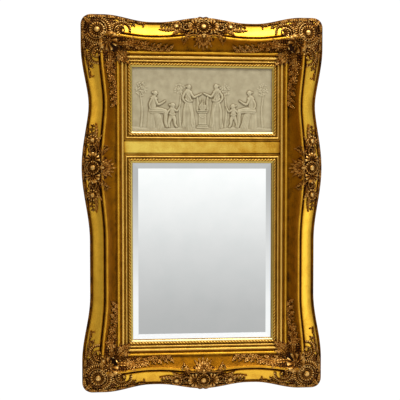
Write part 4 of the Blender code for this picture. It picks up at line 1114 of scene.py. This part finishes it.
def draw_centre(rim_at):
    """One drawing for the middle of a length, whose own rim is rim_at(u) out from the sight."""
    start_drawing()
    # a shell beside the boss, and two scrolls round it
    shell((22, 106), 4, 20, 0, 220, 7, 7)
    scroll((0, 106), 23, 20, 150, -105, 4.4, 6.5, 22)
    scroll((0, 106), 17, 15, 140, -95, 3.4, 5.5, 20)
    # the garland that runs out to one side, with a rosette on it
    stem([(20, 98), (44, 96), (70, 104), (86, 112)], 5, 6)
    pad((46, 100), 20, 7, 2.6)
    pad((76, 108), 16, 6, 2.6)
    boss((74, 107), 10.5, 7)
    shell((74, 107), 9, 15, 0, 360, 12, 4.5)
    leaf((42, 90), (36, 118), 11, 7.5, 0.1, 0)
    scroll((48, 103), 9.5, 5, 200, 250, 4, 6.5, 20)
    flower((60, 92), 6, 5, 5)
    leaf((56, 110), (80, 120), 8, 5, -0.1, 4)
    leaf((74, 104), (98, 92), 9, 5, 0.1, 4)
    leaf((26, 92), (44, 84), 8, 5.5, 0.1, 3)
    leaf((62, 102), (122, 99), 11, 5.5, -0.06, 7)
    leaf((50, 97), (88, 79), 11, 5.5, 0.1, 5)
    leaf((28, 104), (58, 114), 8, 5, 0.1, 4)
    # the swag below it, with its scrolls and leaves
    stem([(2, 66), (10, 77), (30, 81), (50, 76), (60, 66)], 4.5, 7)
    scroll((52, 70), 9, 3.5, 60, -240, 3.6, 6, 20)
    scroll((12, 70), 8, 3.0, 100, 230, 3.4, 6, 20)
    leaf((34, 94), (50, 74), 8, 5.5, 0.0, 4)
    leaf((30, 80), (54, 56), 8, 5, 0.15, 4)
    leaf((12, 74), (26, 54), 7, 5, -0.1, 3)
    # leaves and scrolls along the rim
    for start, end, wide in ((-6, 34, 10), (28, 62, 9), (56, 88, 8), (82, 108, 6)):
        near, far = (start, rim_at(start) - 7), (end, rim_at(end) - 6)
        leaf(near, far, wide, 5, 0.05, 5)
        scroll((end - 6, rim_at(end) - 15), wide * 0.6, wide * 0.28, 120, -230, 2.4, 4, 16)
    # buttons round the boss and below the garland, and the spray that ends it
    for i in range(6):
        turned = radians(28 + 22 * i)
        button((26 * cos(turned), 106 - 27 * sin(turned)), 1.8, 4.5)
    for i in range(5):
        button((60 + 9 * i, 92 - 3.5 * i), 1.6 - 0.1 * i, 4.5)
    spray([(84, 108), (100, 110), (116, 106)], 2.4, 4, 10, 4.5, 3)
    change_over(lambda co: Vector((-co.x, co.y, co.z)))
    # what stands on the middle line
    boss((0, 106), 12.5, 8)
    shell((0, 106), 12.5, 18, 0, 360, 16, 4)
    pad((0, 98), 40, 12, 2.6)
    palmette((0, 78), 34, 270, 130, 7, 6)
    flower((0, 82), 8, 6, 8)
    leaf((0, 116), (0, 129), 9, 5, 0.0, 3)
    return draw


for end, sign in (("top", 1), ("bottom", -1)):
    node = "centre_ornament_" + end
    drawing = draw_centre(lambda u: float(end_width(u)))
    lay_casting(node + "_cast", drawing, lambda u, v: (u, sign * (HALF_Z + v)), node)
    drawing.free()
for flank, sign in (("left", -1), ("right", 1)):
    node = "centre_ornament_" + flank
    drawing = draw_centre(lambda u: float(side_width(SIDE_SWELL_HEIGHT + u)))
    lay_casting(node + "_cast", drawing, lambda u, v: (sign * (HALF_X + v), SIDE_SWELL_HEIGHT + u), node)
    drawing.free()

# Studio
# The mirror stands clear of a pale floor in a plain white room: bright above and to the right,
# dimmer to the left and below, with a soft fall of light that the glass shows from top to foot.
room = bpy.data.worlds.new("white_room")
bpy.context.scene.world = room
room.use_nodes = True
tree = room.node_tree
tree.nodes.clear()
heading = add_node(tree, "ShaderNodeTexCoord")
parts = add_node(tree, "ShaderNodeSeparateXYZ", {}, {0: heading.outputs["Generated"]})


def sky(stops):
    """Grey by height: stops are (rise, grey), with rise from -1 straight down to 1 straight up."""
    height = add_node(
        tree, "ShaderNodeMapRange", {"From Min": -1.0, "From Max": 1.0}, {"Value": parts.outputs["Z"]}
    )
    ramp = add_node(tree, "ShaderNodeValToRGB", {}, {0: height.outputs[0]})
    band = ramp.color_ramp
    while len(band.elements) < len(stops):
        band.elements.new(0.5)
    for element, (rise, grey) in zip(band.elements, stops):
        element.position = (rise + 1) / 2
        element.color = (grey, grey, grey, 1.0)
    return ramp.outputs["Color"]


# straight ahead is what the plate shows, its flanks are what the side bevels show
ahead = sky([
    (-1.0, 0.5), (-0.40, 0.9), (-0.32, 0.92), (-0.24, 0.44), (-0.178, 0.50), (-0.098, 0.69),
    (-0.045, 0.86), (0.0, 0.97), (0.03, 1.0), (0.1, 0.95), (0.15, 0.5), (0.24, 0.55), (0.4, 1.0),
])
flank = sky([
    (-1.0, 0.4), (-0.32, 0.9), (-0.24, 0.95), (-0.17, 0.9), (0.0, 0.48), (0.12, 0.5),
    (0.35, 1.0), (1.0, 1.0),
])
# the rest of the room lights the frame: its left side from above, its right side from below
wide_left = sky([(-1.0, 0.3), (-0.7, 0.32), (-0.22, 0.12), (0.1, 0.30), (0.45, 0.8), (1.0, 1.05)])
wide_right = sky([(-1.0, 0.3), (-0.7, 0.34), (-0.20, 0.27), (0.1, 0.17), (0.45, 0.8), (1.0, 1.05)])
aside = add_node(tree, "ShaderNodeMath", {"operation": "SUBTRACT", 1: 0.075}, {0: parts.outputs["X"]})
aside = add_node(tree, "ShaderNodeMath", {"operation": "ABSOLUTE"}, {0: aside.outputs[0]})
near_flank = add_node(
    tree, "ShaderNodeMapRange", {"From Min": 0.13, "From Max": 0.17}, {"Value": aside.outputs[0]}
)
to_wide = add_node(
    tree, "ShaderNodeMapRange", {"From Min": 0.32, "From Max": 0.45}, {"Value": aside.outputs[0]}
)
rightward = add_node(
    tree, "ShaderNodeMapRange", {"From Min": -0.9, "From Max": 0.8}, {"Value": parts.outputs["X"]}
)
wide = add_node(
    tree, "ShaderNodeMix", {"data_type": "RGBA"}, {0: rightward.outputs[0], 6: wide_left, 7: wide_right}
)
# dim and warm from the left, brighter and cooler from the right
warmth = add_node(
    tree, "ShaderNodeMix", {"data_type": "RGBA", 6: (0.80, 0.68, 0.50, 1.0), 7: (1.10, 1.20, 1.45, 1.0)},
    {0: rightward.outputs[0]}
)
side_light = add_node(
    tree, "ShaderNodeMix", {"data_type": "RGBA", "blend_type": "MULTIPLY", 0: 1.0},
    {6: wide.outputs[2], 7: warmth.outputs[2]}
)
front_light = add_node(
    tree, "ShaderNodeMix", {"data_type": "RGBA"}, {0: near_flank.outputs[0], 6: ahead, 7: flank}
)
light = add_node(
    tree, "ShaderNodeMix", {"data_type": "RGBA"},
    {0: to_wide.outputs[0], 6: front_light.outputs[2], 7: side_light.outputs[2]}
)
# the camera itself sees plain white behind the mirror
shown = add_node(tree, "ShaderNodeLightPath")
seen = add_node(
    tree, "ShaderNodeMix", {"data_type": "RGBA", 7: (1.0, 1.0, 1.0, 1.0)},
    {0: shown.outputs["Is Camera Ray"], 6: light.outputs[2]}
)
back = add_node(tree, "ShaderNodeBackground", {"Strength": 1.05}, {"Color": seen.outputs[2]})
add_node(tree, "ShaderNodeOutputWorld", {}, {"Surface": back.outputs[0]})
bpy.context.scene.view_settings.view_transform = "Standard"

floor_bm = bmesh.new()
bmesh.ops.create_grid(floor_bm, x_segments=1, y_segments=1, size=1.0)
bmesh.ops.scale(floor_bm, vec=(1.6, 1.0, 1.0), verts=floor_bm.verts)
bmesh.ops.translate(floor_bm, vec=(0.0, -0.4, -0.82), verts=floor_bm.verts)
floor_mesh = bpy.data.meshes.new("floor")
floor_bm.to_mesh(floor_mesh)
floor_bm.free()
pale_floor, tree, shader = start_finish("pale_floor")
shader.inputs["Base Color"].default_value = srgb("EDEDED")
shader.inputs["Roughness"].default_value = 0.6
floor_mesh.materials.append(pale_floor)
floor_piece = bpy.data.objects.new("floor", floor_mesh)
bpy.context.scene.collection.objects.link(floor_piece)


def soft_light(name, place, aim, size, watts):
    lamp = bpy.data.lights.new(name, "AREA")
    lamp.shape = "RECTANGLE"
    lamp.size, lamp.size_y = size
    lamp.energy = watts
    holder = bpy.data.objects.new(name, lamp)
    holder.location = place
    holder.rotation_euler = (Vector(aim) - Vector(place)).to_track_quat("-Z", "Y").to_euler()
    bpy.context.scene.collection.objects.link(holder)


soft_light("overhead", (0.4, -0.9, 1.6), (0.0, 0.0, 0.2), (1.4, 0.6), 20.0)
soft_light("from_the_right", (1.7, -1.0, -0.25), (0.1, 0.0, -0.1), (0.8, 1.2), 5.0)
soft_light("from_the_left", (-1.9, -0.9, 0.2), (-0.1, 0.0, 0.0), (0.6, 1.2), 2.5)

# the camera stands where the photograph was taken from: a little to the left, level with the glass
CAMERA_PLACE = (-0.169, -2.0, 0.071)
CAMERA_DOWN, CAMERA_RIGHT = 1.71, 4.66
view = bpy.data.cameras.new("view")
view.lens = 64.67
view.sensor_width = 36.0
view_holder = bpy.data.objects.new("view", view)
view_holder.location = CAMERA_PLACE
view_holder.rotation_euler = (radians(90 - CAMERA_DOWN), 0.0, radians(-CAMERA_RIGHT))
bpy.context.scene.collection.objects.link(view_holder)
bpy.context.scene.camera = view_holder
